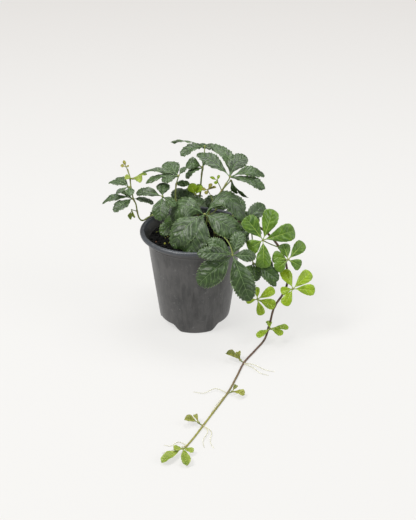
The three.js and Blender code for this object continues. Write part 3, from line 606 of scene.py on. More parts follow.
# Stems: points along the middle of each, from its lower end in the soil, with its radius at both ends.
soilLevel = 85.5
soilFoot = soilLevel - 10
stems = {
    "stem_trailing": {
        "radii": (1.2, 0.86),
        "points": [
            (22, -4, soilFoot), (22, -4, 86), (26, -5, 98), (36, -8, 108), (50, -13, 111), (66, -20, 106),
            (80, -26, 92), (86.5, -29, 78), (89, -31, 66), (88.5, -33, 53), (84.5, -35, 44),
            (78, -36, 33.5), (75.5, -36.5, 26), (74, -37, 18), (71.5, -39.5, 8.5), (69.5, -43, 3),
            (66.5, -50, 1.2), (58.8, -65, 1.1), (47, -88, 1.1), (40.2, -110, 1.05), (34, -130, 1),
            (30, -141, 1), (18.7, -167, 0.95), (9, -189, 0.95), (1, -207, 0.9), (-6, -221, 0.9),
        ],
        "threads": [
            ((46, -89, 1), (55, -94, 3), (65, -100, 1.5), (75, -103, 0.5)),
            ((46, -89, 1), (54, -97, 2), (62, -106, 1), (69, -109, 0.5)),
            ((31, -139, 1), (20, -134, 2.5), (9, -139, 1), (0, -136, 0.5)),
            ((31, -139, 1), (25, -150, 2), (19, -162, 1.4), (15, -173, 0.5)),
            ((9, -189, 1), (13, -199, 2), (9, -211, 1), (10, -220, 0.5)),
            ((9, -189, 1), (16, -199, 1.5), (15, -212, 1), (18, -221, 0.5)),
            ((-4, -218, 1), (-12, -214, 1.6), (-18, -218, 0.8), (-24, -217, 0.5)),
            ((-4, -218, 1), (-13, -222, 1.4), (-19, -226, 0.8), (-25, -228, 0.5)),
        ],
    },
    "stem_front": {
        "radii": (1.1, 0.7),
        "points": [(18, -14, soilFoot), (18, -14, 87), (19.5, -17, 98), (19, -19.5, 107)],
    },
    "stem_right": {
        "radii": (1.1, 0.7),
        "points": [
            (10, 6, soilFoot), (10, 6, 88), (13, 7, 108), (18, 6, 124), (26, 3, 136), (31, 1, 146),
        ],
    },
    "stem_middle": {
        "radii": (1.1, 0.7),
        "points": [(2, 16, soilFoot), (2, 16, 90), (5, 19, 118), (7, 24, 143), (9, 34, 155)],
    },
    "stem_left": {
        "radii": (1.1, 0.7),
        "points": [(-12, 0, soilFoot), (-12, 0, 90), (-15, 2, 112), (-18, 4, 130), (-17, 6, 143)],
    },
    "stem_over_lip": {
        "radii": (0.9, 0.6),
        "points": [
            (-22, 24, soilFoot), (-22, 24, 88), (-28, 27, 95), (-37, 29, 99.6), (-44.5, 23.5, 99.2),
            (-50.5, 15, 99.3), (-53.5, 10.5, 104), (-55.2, 8, 113), (-56, 6, 121), (-58.2, 4.5, 127.5),
            (-60.5, 9, 138), (-61.5, 12, 147), (-63.6, 14, 154),
        ],
    },
    "stem_back_left": {
        "radii": (1.1, 0.7),
        "points": [(-10, 28, soilFoot), (-10, 28, 89), (-13, 34, 99), (-20, 44, 105)],
    },
    "stem_back_right": {
        "radii": (1.1, 0.7),
        "points": [(24, 20, soilFoot), (24, 20, 89), (31, 22, 97), (41, 25, 101.5)],
    },
}
stemDetail = {
    "sides": 12,
    "step": 1.6,  # length of one ring of faces
    "jointSwell": 0.3,
    "jointReach": 1.9,
    "threadRadius": 0.34,
    "threadSteps": 40,
    "threadSides": 6,
    "threadWave": 0.05,
    "threadLift": 0.15,
    "threadTurns": (22, 15),  # of the wave and of the lift, in radians over its length
    "threadSideways": (0.8, 3),  # share of the wave that goes into Y, and by how many steps it lags
    "threadTaper": (1.6, 1.0),  # its radius at the foot, and how much thinner its tip is, in thread radii
    "pathSteps": 400,
    "leastSteps": 24,
    "lumps": ((20 / 17, 0.03), (9 / 7.3, 0.02)),  # of each wave, millimetres in a radian, and height
}

# Leaves: the stalk leaves its stem at the place nearest to root and ends at the hub, by way of over where
# it has to clear the lip. Facing is the compass turn and the lean of the upper side. A leaflet is the reach
# of its tip from the hub, its width, and where it needs them its bow, fold, roll, arch and sway. Finish is
# the look of a leaf that differs from its slot's, and curl folds its leaflets up by so many degrees more.
# What they leave out is in leafDefaults and leafletDefaults.
leaves = {
    "leaf_front_big": {
        "stem": "stem_front", "outline": "large",
        "root": (19, -19, 105), "hub": (10, -16, 121), "facing": (265, 34),
        "leaflets": [
            (-12, -29, -29, 29, 0.14, -4, 0, 0, 0.06), (-29, -22, -25, 25, 0.18, -4, 0, 0, 0.04),
            (-30, 1, -8, 25, 0.24, -6, 0, 0, 0.26), (37, 0, -9, 19, 0.12, -4, -6, 10, -0.26),
            (33, -14, -16, 24, 0.14, -4),
        ],
    },
    "leaf_front_low": {
        "stem": "stem_front", "outline": "large",
        "root": (19, -19, 102), "hub": (36, -50, 95), "facing": (271, 51), "over": (34, -45, 112),
        "leaflets": [
            (-32, -10, -26, 24, 0.14, -4), (-33, -8, 6, 13, 0.14, 4), (-23, 6, 13, 13, 0.1, 4),
            (8, 15, 17, 14, 0.1, 6), (22, 3, -3, 12, 0.1, 4), (16, -18, -39, 22, 0.12, -6),
        ],
    },
    "leaf_top_right": {
        "stem": "stem_right", "outline": "narrow",
        "root": (30, 1.5, 144), "hub": (34, 0, 152.5), "facing": (280, 24),
        "leaflets": [
            (-31, 25, 13, 15, 0.1, 6), (-18, 28, 20, 13, 0.08, 4, 0, 0, 0.2),
            (16, 20, 12, 18, 0.12, 6, 0, 0, -0.1), (33, 6, -2, 13, 0.22, 8), (33, -8, -9, 12, 0.12, 10),
        ],
    },
    "leaf_top_left": {
        "stem": "stem_middle", "root": (9, 33, 154), "hub": (10, 42, 166), "facing": (90, 27),
        "leaflets": [
            (-33, 8, 1, 14, 0.08, 6), (-23, -14, -4, 14, 0.16, 8, -32), (16, 6, -10, 14),
            (5, 26, -14, 15, 0.12, 8), (-14, 22, -12, 14, 0.12, 8),
        ],
    },
    "leaf_middle": {
        "stem": "stem_middle", "root": (7, 25, 145), "hub": (8, 20, 154), "facing": (200, 30),
        "leaflets": [
            (-16, 5, 0, 13, 0.28, 12, -20), (-16, -5, -10, 12, 0.14, 10), (8, 15, 4, 10, 0.12, 10),
        ],
    },
    "leaf_left_middle": {
        "stem": "stem_left", "root": (-17, 6, 142), "hub": (-15, 8, 150), "facing": (260, 10),
        "leaflets": [
            (-12, 14, 8, 19, 0.04, 4), (8, 4, 7, 7), (-15, -10, -2, 12, 0.16, -4),
            (-31, -3, -7, 9, 0.14, 10), (-34, 4, 2, 7, 0.12, 6),
        ],
    },
    "leaf_left_front": {
        "stem": "stem_left", "root": (-17, 3.5, 124), "hub": (-30, -6, 135), "facing": (265, 30),
        "leaflets": [
            (-2, -18, -17, 16, 0.14, 4), (1, 13, 8, 13), (-25, 5, 1, 11, 0.16, 10),
            (13, -5, -8, 9),
        ],
    },
    "leaf_left_behind": {
        "stem": "stem_left", "root": (-16, 2, 110), "hub": (-11, 9, 117), "facing": (265, 30),
        "leaflets": [
            (-6, 14, 13, 16, 0.1, 6), (-16, 8, 2, 10, 0.1, 6), (8, 14, 13, 13, 0.1, 6),
            (21, 2, 5, 12, 0.14, 6),
        ],
    },
    "leaf_inside_left": {
        "stem": "stem_left", "slot": "leaf_mid",
        "root": (-12, 0, 93), "hub": (-17, -5, 109), "facing": (262, 36),
        "leaflets": [(-15, -9, -11, 14, 0.1, 4), (-11, 10, -3, 10, 0.1, 6), (1, -18, -14, 12, 0.1, 6)],
    },
    "leaf_far_left_low": {
        "stem": "stem_over_lip", "root": (-57.5, 5, 126), "hub": (-58.5, 1.5, 129), "facing": (260, 12),
        "leaflets": [
            (-17, -17, -6, 13, 0.1, 4), (-29, -3, -4, 9, 0.18, 8), (-15, 14, 2, 7),
            (20, -8, -2, 8),
        ],
    },
    "leaf_far_left_high": {
        "stem": "stem_over_lip", "root": (-60.3, 8, 136), "hub": (-62, 5, 139.5), "facing": (250, 12),
        "leaflets": [
            (-20, 10, 0, 9, 0.14, 10), (-13, 19, 1, 8, 0.12, 8), (2, -13, -3, 9, 0.12, 6),
            (-12, -8, -4, 6),
        ],
    },
    "leaf_young_left": {
        "stem": "stem_over_lip", "slot": "leaf_mid", "outline": "spoon",
        "finish": "leaf_young", "curl": 12,
        "root": (-61.3, 11.5, 145), "hub": (-58.5, 10, 146), "facing": (280, 30),
        "leaflets": [(9, -1, -1, 9), (13, 9, 1, 3.5), (-8, 1, 1, 6)],
    },
    "leaf_bud_left": {
        "stem": "stem_over_lip", "slot": "leaf_olive", "outline": "bud",
        "root": (-63.6, 14, 153.6), "hub": (-65, 13.5, 157), "facing": (250, 30),
        "leaflets": [(-5, 0, 1, 4), (-2, 1, 6, 3), (3, -1, 1, 3)],
    },
    "leaf_hanging_left": {
        "stem": "stem_over_lip", "slot": "leaf_olive", "outline": "bud",
        "finish": "leaf_young", "curl": 20,
        "root": (-55.1, 8, 112), "hub": (-60, 4, 116), "facing": (230, 60),
        "leaflets": [(-1, -3, -9, 5), (3, -3, -7, 3)],
    },
    "leaf_young_middle": {
        "stem": "stem_middle", "slot": "leaf_lime", "curl": 4,
        "root": (5, 19, 119), "hub": (1, 13, 128), "facing": (250, 50),
        "leaflets": [(-4, 2, 11, 10, 0.1, 6), (6, 3, 9, 9, 0.1, 6)],
    },
    "leaf_green_middle": {
        "stem": "stem_middle", "slot": "leaf_mid",
        "root": (6, 21, 128), "hub": (-3, 19, 135), "facing": (240, 40),
        "leaflets": [(-14, 0, 2, 7, 0.12, 8), (-7, -5, 5, 6)],
    },
    "leaf_bud_middle": {
        "stem": "stem_right", "slot": "leaf_olive", "outline": "bud",
        "root": (18, 6, 124), "hub": (13, 11, 134), "facing": (260, 30),
        "leaflets": [
            (-6, -1, 1, 4), (-2, -4, -3, 4), (4, 1, 6, 4), (8, 2, 2, 3),
        ],
    },
    "leaf_bud_right": {
        "stem": "stem_right", "slot": "leaf_lime", "outline": "bud",
        "root": (26, 3, 136), "hub": (22, 6, 146), "facing": (260, 30),
        "leaflets": [(-7, 1, 3, 3), (-2, -4, -2, 4), (2, 1, 5, 3)],
    },
    "leaf_under_top_right": {
        "stem": "stem_right", "root": (27, 2.5, 138), "hub": (35, 9, 144.5), "facing": (270, 60),
        "leaflets": [(6, -2, -13, 7, 0.12, 6, 50), (17, 0, -18, 5, 0.1, 6, 66)],
    },
    "leaf_over_lip_right": {
        "stem": "stem_front", "root": (19.3, -17, 97), "hub": (28, -19, 102), "facing": (300, 40),
        "leaflets": [(25, -2, 3, 16, 0.12, 6), (24, -8, -3, 13, 0.1, 6), (14, 9, 2, 12, 0.1, 6)],
    },
    "leaf_right_behind": {
        "stem": "stem_trailing", "root": (38, -12, 113), "hub": (47, -3, 105), "facing": (285, 44),
        "leaflets": [(21, 21, 10, 15, 0.1, 4), (9, 3, -8, 9, 0.1, 6), (-9, 20, 21, 15, 0.1, 6)],
    },
    "leaf_right_bright": {
        "stem": "stem_trailing", "slot": "leaf_bright", "outline": "spoon",
        "root": (81, -26, 92), "hub": (65, -32, 101.5), "facing": (282, 62),
        "leaflets": [
            (-17, 8, 20, 16, 0.06, 6), (9, 15, 25, 16, 0.08, 6), (30, 9, 6, 17),
            (-14, -5, -7, 14, 0.08, 6), (0, -11, -24, 15, 0.08, 6),
        ],
    },
    "leaf_right_far": {
        "stem": "stem_trailing", "slot": "leaf_bright", "outline": "spoon",
        "root": (87, -29, 77), "hub": (89, -36, 83), "facing": (285, 58),
        "leaflets": [
            (15, 14, 11, 12, 0.06, 6), (12, -1, -7, 11, 0.06, 6), (-5, 11, 11, 12, 0.06, 6),
            (-15, 3, 2, 12, 0.06, 6), (-12, -5, -8, 11, 0.08, 6),
        ],
    },
    "leaf_right_dark": {
        "stem": "stem_trailing", "slot": "leaf_mid",
        "root": (52, -16, 114), "hub": (56, -38, 80), "facing": (278, 54),
        "leaflets": [
            (19, 2, -5, 13, 0.08, 6), (24, -4, -16, 15, 0.08, 6), (22, -3, -23, 8, 0.08, 6),
            (3, -6, -16, 11, 0.08, 6), (-8, -6, -9, 8, 0.08, 6),
        ],
    },
    "leaf_lime_right": {
        "stem": "stem_trailing", "slot": "leaf_lime", "outline": "spoon",
        "root": (88, -34, 48), "hub": (94, -44, 56), "facing": (278, 55),
        "leaflets": [
            (-9, 12, 14, 11, 0.06, 6), (17, 13, 11, 12, 0.06, 6), (21, 2, -3, 11, 0.06, 6),
            (-9, -9, -13, 10, 0.06, 6), (-12, -2, -2, 8, 0.06, 6),
        ],
    },
    "leaf_lime_left": {
        "stem": "stem_trailing", "slot": "leaf_lime", "outline": "spoon",
        "root": (81, -36, 31), "hub": (60, -52, 49), "facing": (270, 60),
        "leaflets": [
            (16, 6, 8, 9, 0.06, 6), (17, -2, -6, 10, 0.06, 6), (4, -6, -14, 8, 0.06, 6),
            (-11, 0, -2, 6, 0.06, 6), (-1, 6, 10, 6, 0.06, 6),
        ],
    },
    "leaf_lime_low": {
        "stem": "stem_trailing", "slot": "leaf_lime", "outline": "spoon",
        "root": (73, -39, 8), "hub": (73, -46, 13), "facing": (270, 30),
        "leaflets": [
            (-13, -10, -3, 7, 0.08, 8), (12, -7, -2, 7, 0.08, 8), (18, 3, 0, 6, 0.08, 8),
            (-1, 12, 2, 6, 0.08, 8),
        ],
    },
    "leaf_surface_first": {
        "stem": "stem_trailing", "slot": "leaf_olive", "outline": "spoon",
        "finish": "leaf_curled", "curl": 30,
        "root": (47, -88, 1), "hub": (43.5, -88, 4), "facing": (230, 20),
        "leaflets": [(-13, 9, 2, 7, 0.14, 10), (-2, 11, 2, 5), (-6, 2, 4, 5)],
    },
    "leaf_surface_second": {
        "stem": "stem_trailing", "slot": "leaf_olive", "outline": "spoon",
        "finish": "leaf_curled", "curl": 26,
        "root": (31, -139, 1), "hub": (35, -140, 3.5), "facing": (300, 20),
        "leaflets": [(11, -4, -1, 7), (4, 7, 2, 4)],
    },
    "leaf_surface_third": {
        "stem": "stem_trailing", "slot": "leaf_olive", "outline": "spoon",
        "finish": "leaf_curled", "curl": 30,
        "root": (9, -189, 1), "hub": (5, -188, 3.5), "facing": (230, 20),
        "leaflets": [(-12, 4, 1, 7), (-3, 9, 2, 4)],
    },
    "leaf_surface_tip": {
        "stem": "stem_trailing", "slot": "leaf_lime", "outline": "spoon",
        "finish": "leaf_young", "curl": 26,
        "root": (-6, -221, 1), "hub": (-8, -225, 3), "facing": (270, 10),
        "leaflets": [
            (-17, -18, -1, 8, 0.06, 6), (4, -22, -1, 8, 0.06, 6), (9, -5, 0, 6, 0.06, 6),
            (-7, -6, 3, 7, 0.1, 6),
        ],
    },
    "leaf_back_left": {
        "stem": "stem_back_left", "root": (-20, 43, 104.5), "hub": (-25, 60, 95), "facing": (112, 62),
        "leaflets": [
            (-20, 1, -15, 12, 0.1, 6), (-6, 14, -29, 15, 0.12, 6), (12, 17, -18, 12, 0.1, 6),
            (-14, -6, 3, 9, 0.1, 6), (12, 5, 3, 9, 0.1, 6),
        ],
    },
    "leaf_back_middle": {
        "stem": "stem_back_left", "root": (-15, 37, 101), "hub": (7, 62, 100), "facing": (90, 58),
        "leaflets": [
            (-19, 10, -19, 12, 0.1, 6), (0, 17, -28, 17, 0.12, 6), (22, 11, -17, 14, 0.1, 6),
            (-16, -1, 1, 10, 0.1, 6), (16, -1, 1, 10, 0.1, 6),
        ],
    },
    "leaf_back_right": {
        "stem": "stem_back_right", "root": (40, 24.5, 101), "hub": (46, 54, 92), "facing": (65, 60),
        "leaflets": [(-14, 17, -16, 13, 0.1, 6), (6, 14, -27, 15, 0.12, 6), (19, 0, -13, 12, 0.1, 6)],
    },
    "leaf_side_right": {
        "stem": "stem_back_right", "root": (41, 25, 101.5), "hub": (53, 28, 95), "facing": (25, 50),
        "leaflets": [(4, 17, -15, 12, 0.1, 6), (12, 9, -20, 13, 0.1, 6), (13, -8, -13, 12, 0.1, 6)],
    },
    "leaf_behind_left": {
        "stem": "stem_middle", "root": (3, 17, 104), "hub": (-7, 34, 114), "facing": (100, 26),
        "leaflets": [(-19, 6, -4, 13, 0.1, 6), (-9, 22, -7, 15, 0.1, 6), (12, 17, -6, 14, 0.1, 6)],
    },
    "leaf_behind_right": {
        "stem": "stem_right", "root": (13, 7, 107), "hub": (21, 17, 110), "facing": (265, 38),
        "leaflets": [(-9, 4, 10, 11, 0.1, 6), (3, 7, 13, 12, 0.1, 6), (15, 4, 7, 12, 0.1, 6)],
    },
}
leafDefaults = {"slot": "leaf_dark", "outline": "broad", "curl": 0}
leafletDefaults = [0.1, 8, 0, 0, 0]  # bow, fold, roll, arch and sway

# Outline of a leaflet: where it leaves its foot, where it is widest, how fast it swells, how blunt its
# end is, how many teeth it has on each side, how deep they are, and how many veins.
outlineParts = ("foot", "belly", "swell", "blunt", "teeth", "tooth", "veins")
outlineValues = {
    "large": (0.03, 0.56, 1.15, 2.0, 9, 1.5, 6),
    "broad": (0.03, 0.58, 1.15, 2.0, 6, 1.2, 5),
    "narrow": (0.03, 0.62, 1.15, 2.0, 8, 1.3, 6),
    "spoon": (0.04, 0.75, 1.19, 2.7, 4, 0.45, 5),
    "bud": (0.04, 0.62, 1.12, 2.0, 2, 0.1, 4),
}
outlines = {name: dict(zip(outlineParts, values)) for name, values in outlineValues.items()}
blade = {
    "footStart": 0.9,
    "footHalf": 0.5,
    "footEnd": 0.9,  # the least half width holds up to here
    "fullWidth": 14,  # narrower leaflets have smaller teeth, ruffles and grooves
    "smallWidth": 6,  # and those up to this have fewer columns
    "waveHeight": 0.03,  # edge wave, as a share of the length
    "waveTurns": 9,
    "waveEnd": 12,  # how fast the wave and the turned edge die away at the tip
    "ruffle": 0.5,  # height of the small waves between its teeth
    "ruffleStart": 0.1,
    "ruffleTurns": (1.3, 0.3),  # for each tooth, and how much more by luck
    "ruffleEnds": (5, 8),
    "thick": 0.5,
    "edgeThin": 0.35,
    "edgeSharp": 0.3,
    "toothReach": 8,  # power that keeps the teeth at the edge
    "toothStart": 0.38,
    "toothEnd": 0.95,
    "toothSteps": (0.0, 0.35, 0.68, 0.88),
    "tipRows": (0.95, 0.97, 0.985, 0.995, 1.0),
    "tipOut": -0.3,
    "footRows": 9,
    "columns": (0, 0.045, 0.13, 0.26, 0.4, 0.54, 0.68, 0.81, 0.92, 1.0),
    "smallColumns": (0, 0.08, 0.28, 0.52, 0.78, 1.0),
    "softFold": 0.003,  # rounds the fold at the midrib
    "quilt": 0.036,  # height of the surface between two veins, as a share of the width
    "quiltPower": 0.7,
    "ripple": 0.05,  # and of its slow unevenness
    "rippleSize": 7,
    "groove": 0.35,
    "grooveWidth": 0.9,
    "grooveFade": 0.6,  # how much shallower it is at the tip
    "grooveBelow": 0.4,  # share of its depth that shows on the lower side
    "veinLean": 0.4,  # how far a vein runs forward for each step outward
    "veinCurl": 0.8,
    "veinShift": (0.22, 0.12),  # sets the two sides' veins apart, and how near to the midrib that starts
    "veinSpread": 0.25,  # how uneven the veins' distances are
    "edgeCurl": 0.05,  # how far the edge turns down, as a share of the width
}
midrib = {
    "radius": 0.3,
    "least": 0.35,  # share of it that the smallest leaflets have
    "taper": (1.05, 0.8),  # the place where it would end, and the power
    "footSwell": (1.25, 1.2, 1.1, 1.0),
    "ends": (-0.03, 0.94),
    "steps": 16,
    "sides": 6,
    "sunk": 0.3,  # share of its radius
}
stalk = {
    "rise": 0.12,
    "reach": 0.2,
    "sag": 0.3,
    "radii": (0.62, 0.5),
    "steps": 22,
    "sides": 8,
    "flare": 0.4,
    "flareEase": 9,
    "joint": 0.5,
    "budShare": 0.7,  # how thick a bud's is, as a share of the others
    "hubRadius": 1.25,
    "hubFlat": 0.8,
}
leafSeed = 100


def seeded(seed):
    state = seed
    while True:
        state = (state * 1664525 + 1013904223) % 4294967296
        yield state / 4294967296


def halfShare(s, outline):
    # half width at a place along, as a share of the widest
    rise = np.clip((s - outline["foot"]) / (outline["belly"] - outline["foot"]), 0, 1)
    on = np.clip((s - outline["belly"]) / (1 - outline["belly"]), 0, 1)
    return np.where(
        s < outline["belly"],
        np.sin(rise * math.pi / 2) ** outline["swell"],
        np.sqrt(np.maximum(0, 1 - on ** outline["blunt"])),
    )


def leafletRows(outline):
    # places along a leaflet, with how far each tooth stands out there
    start, end = blade["toothStart"], blade["toothEnd"]
    rows = [(s, 0) for s in np.linspace(0, start, blade["footRows"], endpoint=False)]
    for tooth in range(outline["teeth"]):
        for step in blade["toothSteps"]:
            s = start + (end - start) * (tooth + step) / outline["teeth"]
            out = step / blade["toothSteps"][-1] - 0.5
            rows.append((s, out * min(1, (tooth + 0.6) / 2)))
    rows += [(s, blade["tipOut"]) for s in blade["tipRows"]]
    return rows


def bladeFaces(rows, perRow):
    # the upper side, the lower side, both edges and the foot; the two sides all but meet at the tip
    low = rows * perRow
    faces = []
    for j in range(rows - 1):
        for k in range(perRow - 1):
            a = j * perRow + k
            faces.append((a, a + 1, a + 1 + perRow, a + perRow))
            faces.append((low + a, low + a + perRow, low + a + 1 + perRow, low + a + 1))
        a, b = j * perRow, j * perRow + perRow - 1
        faces.append((a, a + perRow, low + a + perRow, low + a))
        faces.append((b, low + b, low + b + perRow, b + perRow))
    for k in range(perRow - 1):
        faces.append((k, low + k, low + k + 1, k + 1))
    return faces


def leafletForms(hub, face, leaflet, outline, phase, luck, curl):
    dx, dy, dz, width, *rest = leaflet
    bow, fold, roll, arch, sway = rest + leafletDefaults[len(rest):]
    reach = np.array((dx, dy, dz), float)
    length = np.linalg.norm(reach) - blade["footStart"]
    along = unit(reach)
    up = unit(face - along * face.dot(along))
    turn = math.radians(roll)
    up = up * math.cos(turn) + np.cross(along, up) * math.sin(turn)
    side = np.cross(along, up)
    foot = hub + along * blade["footStart"]
    foldSlope = math.tan(math.radians(fold + curl))
    size = min(1, width / blade["fullWidth"])

    def centreAt(s):
        crown = 4 * s * (1 - s)
        bent = (up * bow + side * sway) * length * crown
        return foot + along * s * length + bent + np.array((0, 0, arch * crown))

    def edgeWave(s, t, out):
        slow = math.sin(blade["waveTurns"] * s + phase + t)
        slow *= out * out * blade["waveHeight"] * length * min(1, (1 - s) * blade["waveEnd"])
        fewer, more = blade["ruffleTurns"]
        turns = outline["teeth"] * (s - blade["ruffleStart"]) * (fewer + more * luck)
        footEase, tipEase = blade["ruffleEnds"]
        quick = math.sin(math.pi * turns + 2 * phase + 2 * t)
        quick *= min(1, footEase * s) * min(1, (1 - s) * tipEase)
        return slow + out ** 4 * blade["ruffle"] * size * quick

    def veinsPassed(s, t, out, far):
        # how many side veins leave the midrib before the one that would reach this point
        startShare = s - (blade["veinLean"] * far + blade["veinCurl"] * far * out) / length
        shift, near = blade["veinShift"]
        spread = blade["veinSpread"] * math.sin(9 * startShare + 6 * luck + 2 * np.sign(t))
        spread *= min(1, 4 * out)
        return startShare * (outline["veins"] + 1) + shift * t / (out + near) + luck + spread

    def quilting(count, out):
        between = 0.5 - 0.5 * math.cos(2 * math.pi * count)
        return min(1, 3 * out) * (1 - out ** 4) * (between ** blade["quiltPower"] - 0.5)

    rows = leafletRows(outline)
    halfColumns = blade["columns"] if width > blade["smallWidth"] else blade["smallColumns"]
    columns = [-t for t in halfColumns[:0:-1]] + list(halfColumns)
    soft = blade["softFold"]
    top, bottom, coords = [], [], []
    for s, tooth in rows:
        least = blade["footHalf"] if s < blade["footEnd"] else 0
        half = max(width / 2 * float(halfShare(s, outline)), least)
        centre = centreAt(s)
        outward = unit(side - along * 4 * sway * (1 - 2 * s))
        for t in columns:
            out = abs(t)
            far = out * half
            atEdge = math.copysign(out ** blade["toothReach"], t)
            lateral = t * half + atEdge * tooth * outline["tooth"] * size
            lift = (math.sqrt(out * out + soft) - math.sqrt(soft)) * half * foldSlope + edgeWave(s, t, out)
            count = veinsPassed(s, t, out, far)
            lift += blade["quilt"] * width * quilting(count, out)
            turned = blade["edgeCurl"] * width * (0.4 + luck) * min(1, (1 - s) * blade["waveEnd"])
            lift -= turned * out ** 4
            base = centre + outward * lateral + up * lift
            ripple = noise.noise(Vector(base) / blade["rippleSize"]) * blade["ripple"] * width
            base += up * ripple * min(1, 2 * out) * (1 - out ** 6)
            near = math.exp(-((far / (blade["grooveWidth"] * size)) ** 2))
            groove = blade["groove"] * size * near * (1 - blade["grooveFade"] * s)
            thick = blade["thick"] / 2 * (1 - blade["edgeThin"] * out)
            if out == 1:
                thick *= blade["edgeSharp"]
            top.append(base + up * (thick - groove))
            bottom.append(base - up * (thick + blade["grooveBelow"] * groove))
            coords.append((count, out, s, half))
    coords = np.array(coords + coords)
    upper = np.repeat((1, 0), len(top))
    form = {
        "points": np.array(top + bottom),
        "faces": bladeFaces(len(rows), len(columns)),
        "kind": 0,
        "leafCoord": coords[:, :3],
        "leafSize": np.stack([coords[:, 3], np.full(len(coords), luck), upper], axis=1),
    }
    start, end = midrib["ends"]
    places = np.concatenate([[start], np.linspace(0.0, end, midrib["steps"])])
    past, power = midrib["taper"]
    radii = midrib["radius"] * (midrib["least"] + (1 - midrib["least"]) * size) * (past - places) ** power
    radii[:len(midrib["footSwell"])] *= midrib["footSwell"]
    path = np.array([centreAt(s) - up * midrib["sunk"] * r for s, r in zip(places, radii)])
    return [form, tube(path, radii, midrib["sides"], 2, np.zeros(len(path)))]


print("growing the stems")
paths = {name: evenPath(stem["points"], stemDetail["pathSteps"]) for name, stem in stems.items()}
joints = {name: [] for name in stems}  # where leaves leave each stem, as a place from 0 to 1


def nearestOn(name, point):
    path = paths[name]
    steps = stemDetail["pathSteps"]
    i = int(np.argmin(np.linalg.norm(path - np.array(point, float), axis=1)))
    tangent = unit(path[min(i + 1, steps)] - path[max(i - 1, 0)])
    return i / steps, path[i], tangent


def stemForm(name, stem):
    length = float(lengthsAlong(paths[name])[-1])
    steps = max(stemDetail["leastSteps"], int(length / stemDetail["step"]))
    start, end = stem["radii"]
    radii, near = [], []
    for place in np.linspace(0, 1, steps + 1):
        gaps = [(place - joint) * length / stemDetail["jointReach"] for joint in joints[name]]
        close = max([math.exp(-gap ** 2) for gap in gaps] + [0])
        swell = stemDetail["jointSwell"] * close
        swell += sum(high * math.sin(place * length / wave) for wave, high in stemDetail["lumps"])
        radii.append((start + (end - start) * place) * (1 + swell))
        near.append(close)
    return tube(evenPath(stem["points"], steps), radii, stemDetail["sides"], 0, near)


def threadForm(thread, number):
    # a tendril: a thin thread that is waved more and more towards its end
    line = evenPath(thread, stemDetail["threadSteps"])
    share = np.linspace(0, 1, len(line))
    flatTurns, liftTurns = stemDetail["threadTurns"]
    part, later = stemDetail["threadSideways"]
    curl = stemDetail["threadWave"] * np.sin(share * flatTurns + number) * share
    line[:, 0] += curl
    line[:, 1] += part * np.roll(curl, later)
    lift = stemDetail["threadLift"] * np.sin(share * liftTurns + number) * share
    line[:, 2] = np.maximum(line[:, 2] + lift, stemDetail["threadRadius"])
    foot, thinner = stemDetail["threadTaper"]
    radii = stemDetail["threadRadius"] * (foot - thinner * share ** 0.6)
    return tube(line, radii, stemDetail["threadSides"], 1, np.zeros(len(line)))


for leaf in leaves.values():
    joints[leaf["stem"]].append(nearestOn(leaf["stem"], leaf["root"])[0])

for name, stem in stems.items():
    forms = [stemForm(name, stem)]
    forms += [threadForm(thread, number) for number, thread in enumerate(stem.get("threads", []))]
    slot = "stem_brown" if name == "stem_trailing" else "stem_green"
    finishes = [stemMaterials[slot], stemMaterials["tendril"]]
    makePiece(name.replace("stem", "vine"), forms, finishes, [name])

print("growing the leaves")


def stalkForms(leaf, hub, face, number):
    _, start, tangent = nearestOn(leaf["stem"], leaf["root"])
    reach = float(np.linalg.norm(hub - start))
    away = unit(hub - start)
    first = start + tangent * stalk["rise"] * reach + away * stalk["reach"] * reach
    second = np.array(leaf["over"], float) if "over" in leaf else hub - face * stalk["sag"] * reach
    line = bezier(start, first, second, hub, stalk["steps"])
    share = np.linspace(0, 1, len(line))
    ends = np.exp(-share * stalk["flareEase"]) + np.exp(-(1 - share) * stalk["flareEase"])
    thick, thin = stalk["radii"]
    small = stalk["budShare"] if leaf["outline"] == "bud" else 1
    radii = small * (thick + (thin - thick) * share) * (1 + stalk["flare"] * ends)
    stem = tube(line, radii, stalk["sides"], 1, stalk["joint"] * ends)
    return [stem, ball(hub, stalk["hubRadius"] * small, number, 1, stalk["hubFlat"])]


for number, (name, given) in enumerate(leaves.items()):
    leaf = {**leafDefaults, **given}
    hub = np.array(leaf["hub"], float)
    turn, lean = (math.radians(v) for v in leaf["facing"])
    face = np.array((math.sin(lean) * math.cos(turn), math.sin(lean) * math.sin(turn), math.cos(lean)))
    draws = seeded(number + 1)
    luck = random.Random(leafSeed + number)
    forms = []
    for leaflet in leaf["leaflets"]:
        phase = 6 * next(draws)
        outline = outlines[leaf["outline"]]
        forms += leafletForms(hub, face, leaflet, outline, phase, luck.random(), leaf["curl"])
    forms += stalkForms(leaf, hub, face, number)
    blades = leafMaterials[leaf.get("finish", leaf["slot"])]
    ribs = stemMaterials[ribOf.get(leaf["slot"], "ribLight")]
    finishes = [blades, stemMaterials["stalk"], ribs]
    makePiece(name.replace("leaf", "foliage"), forms, finishes, [name])


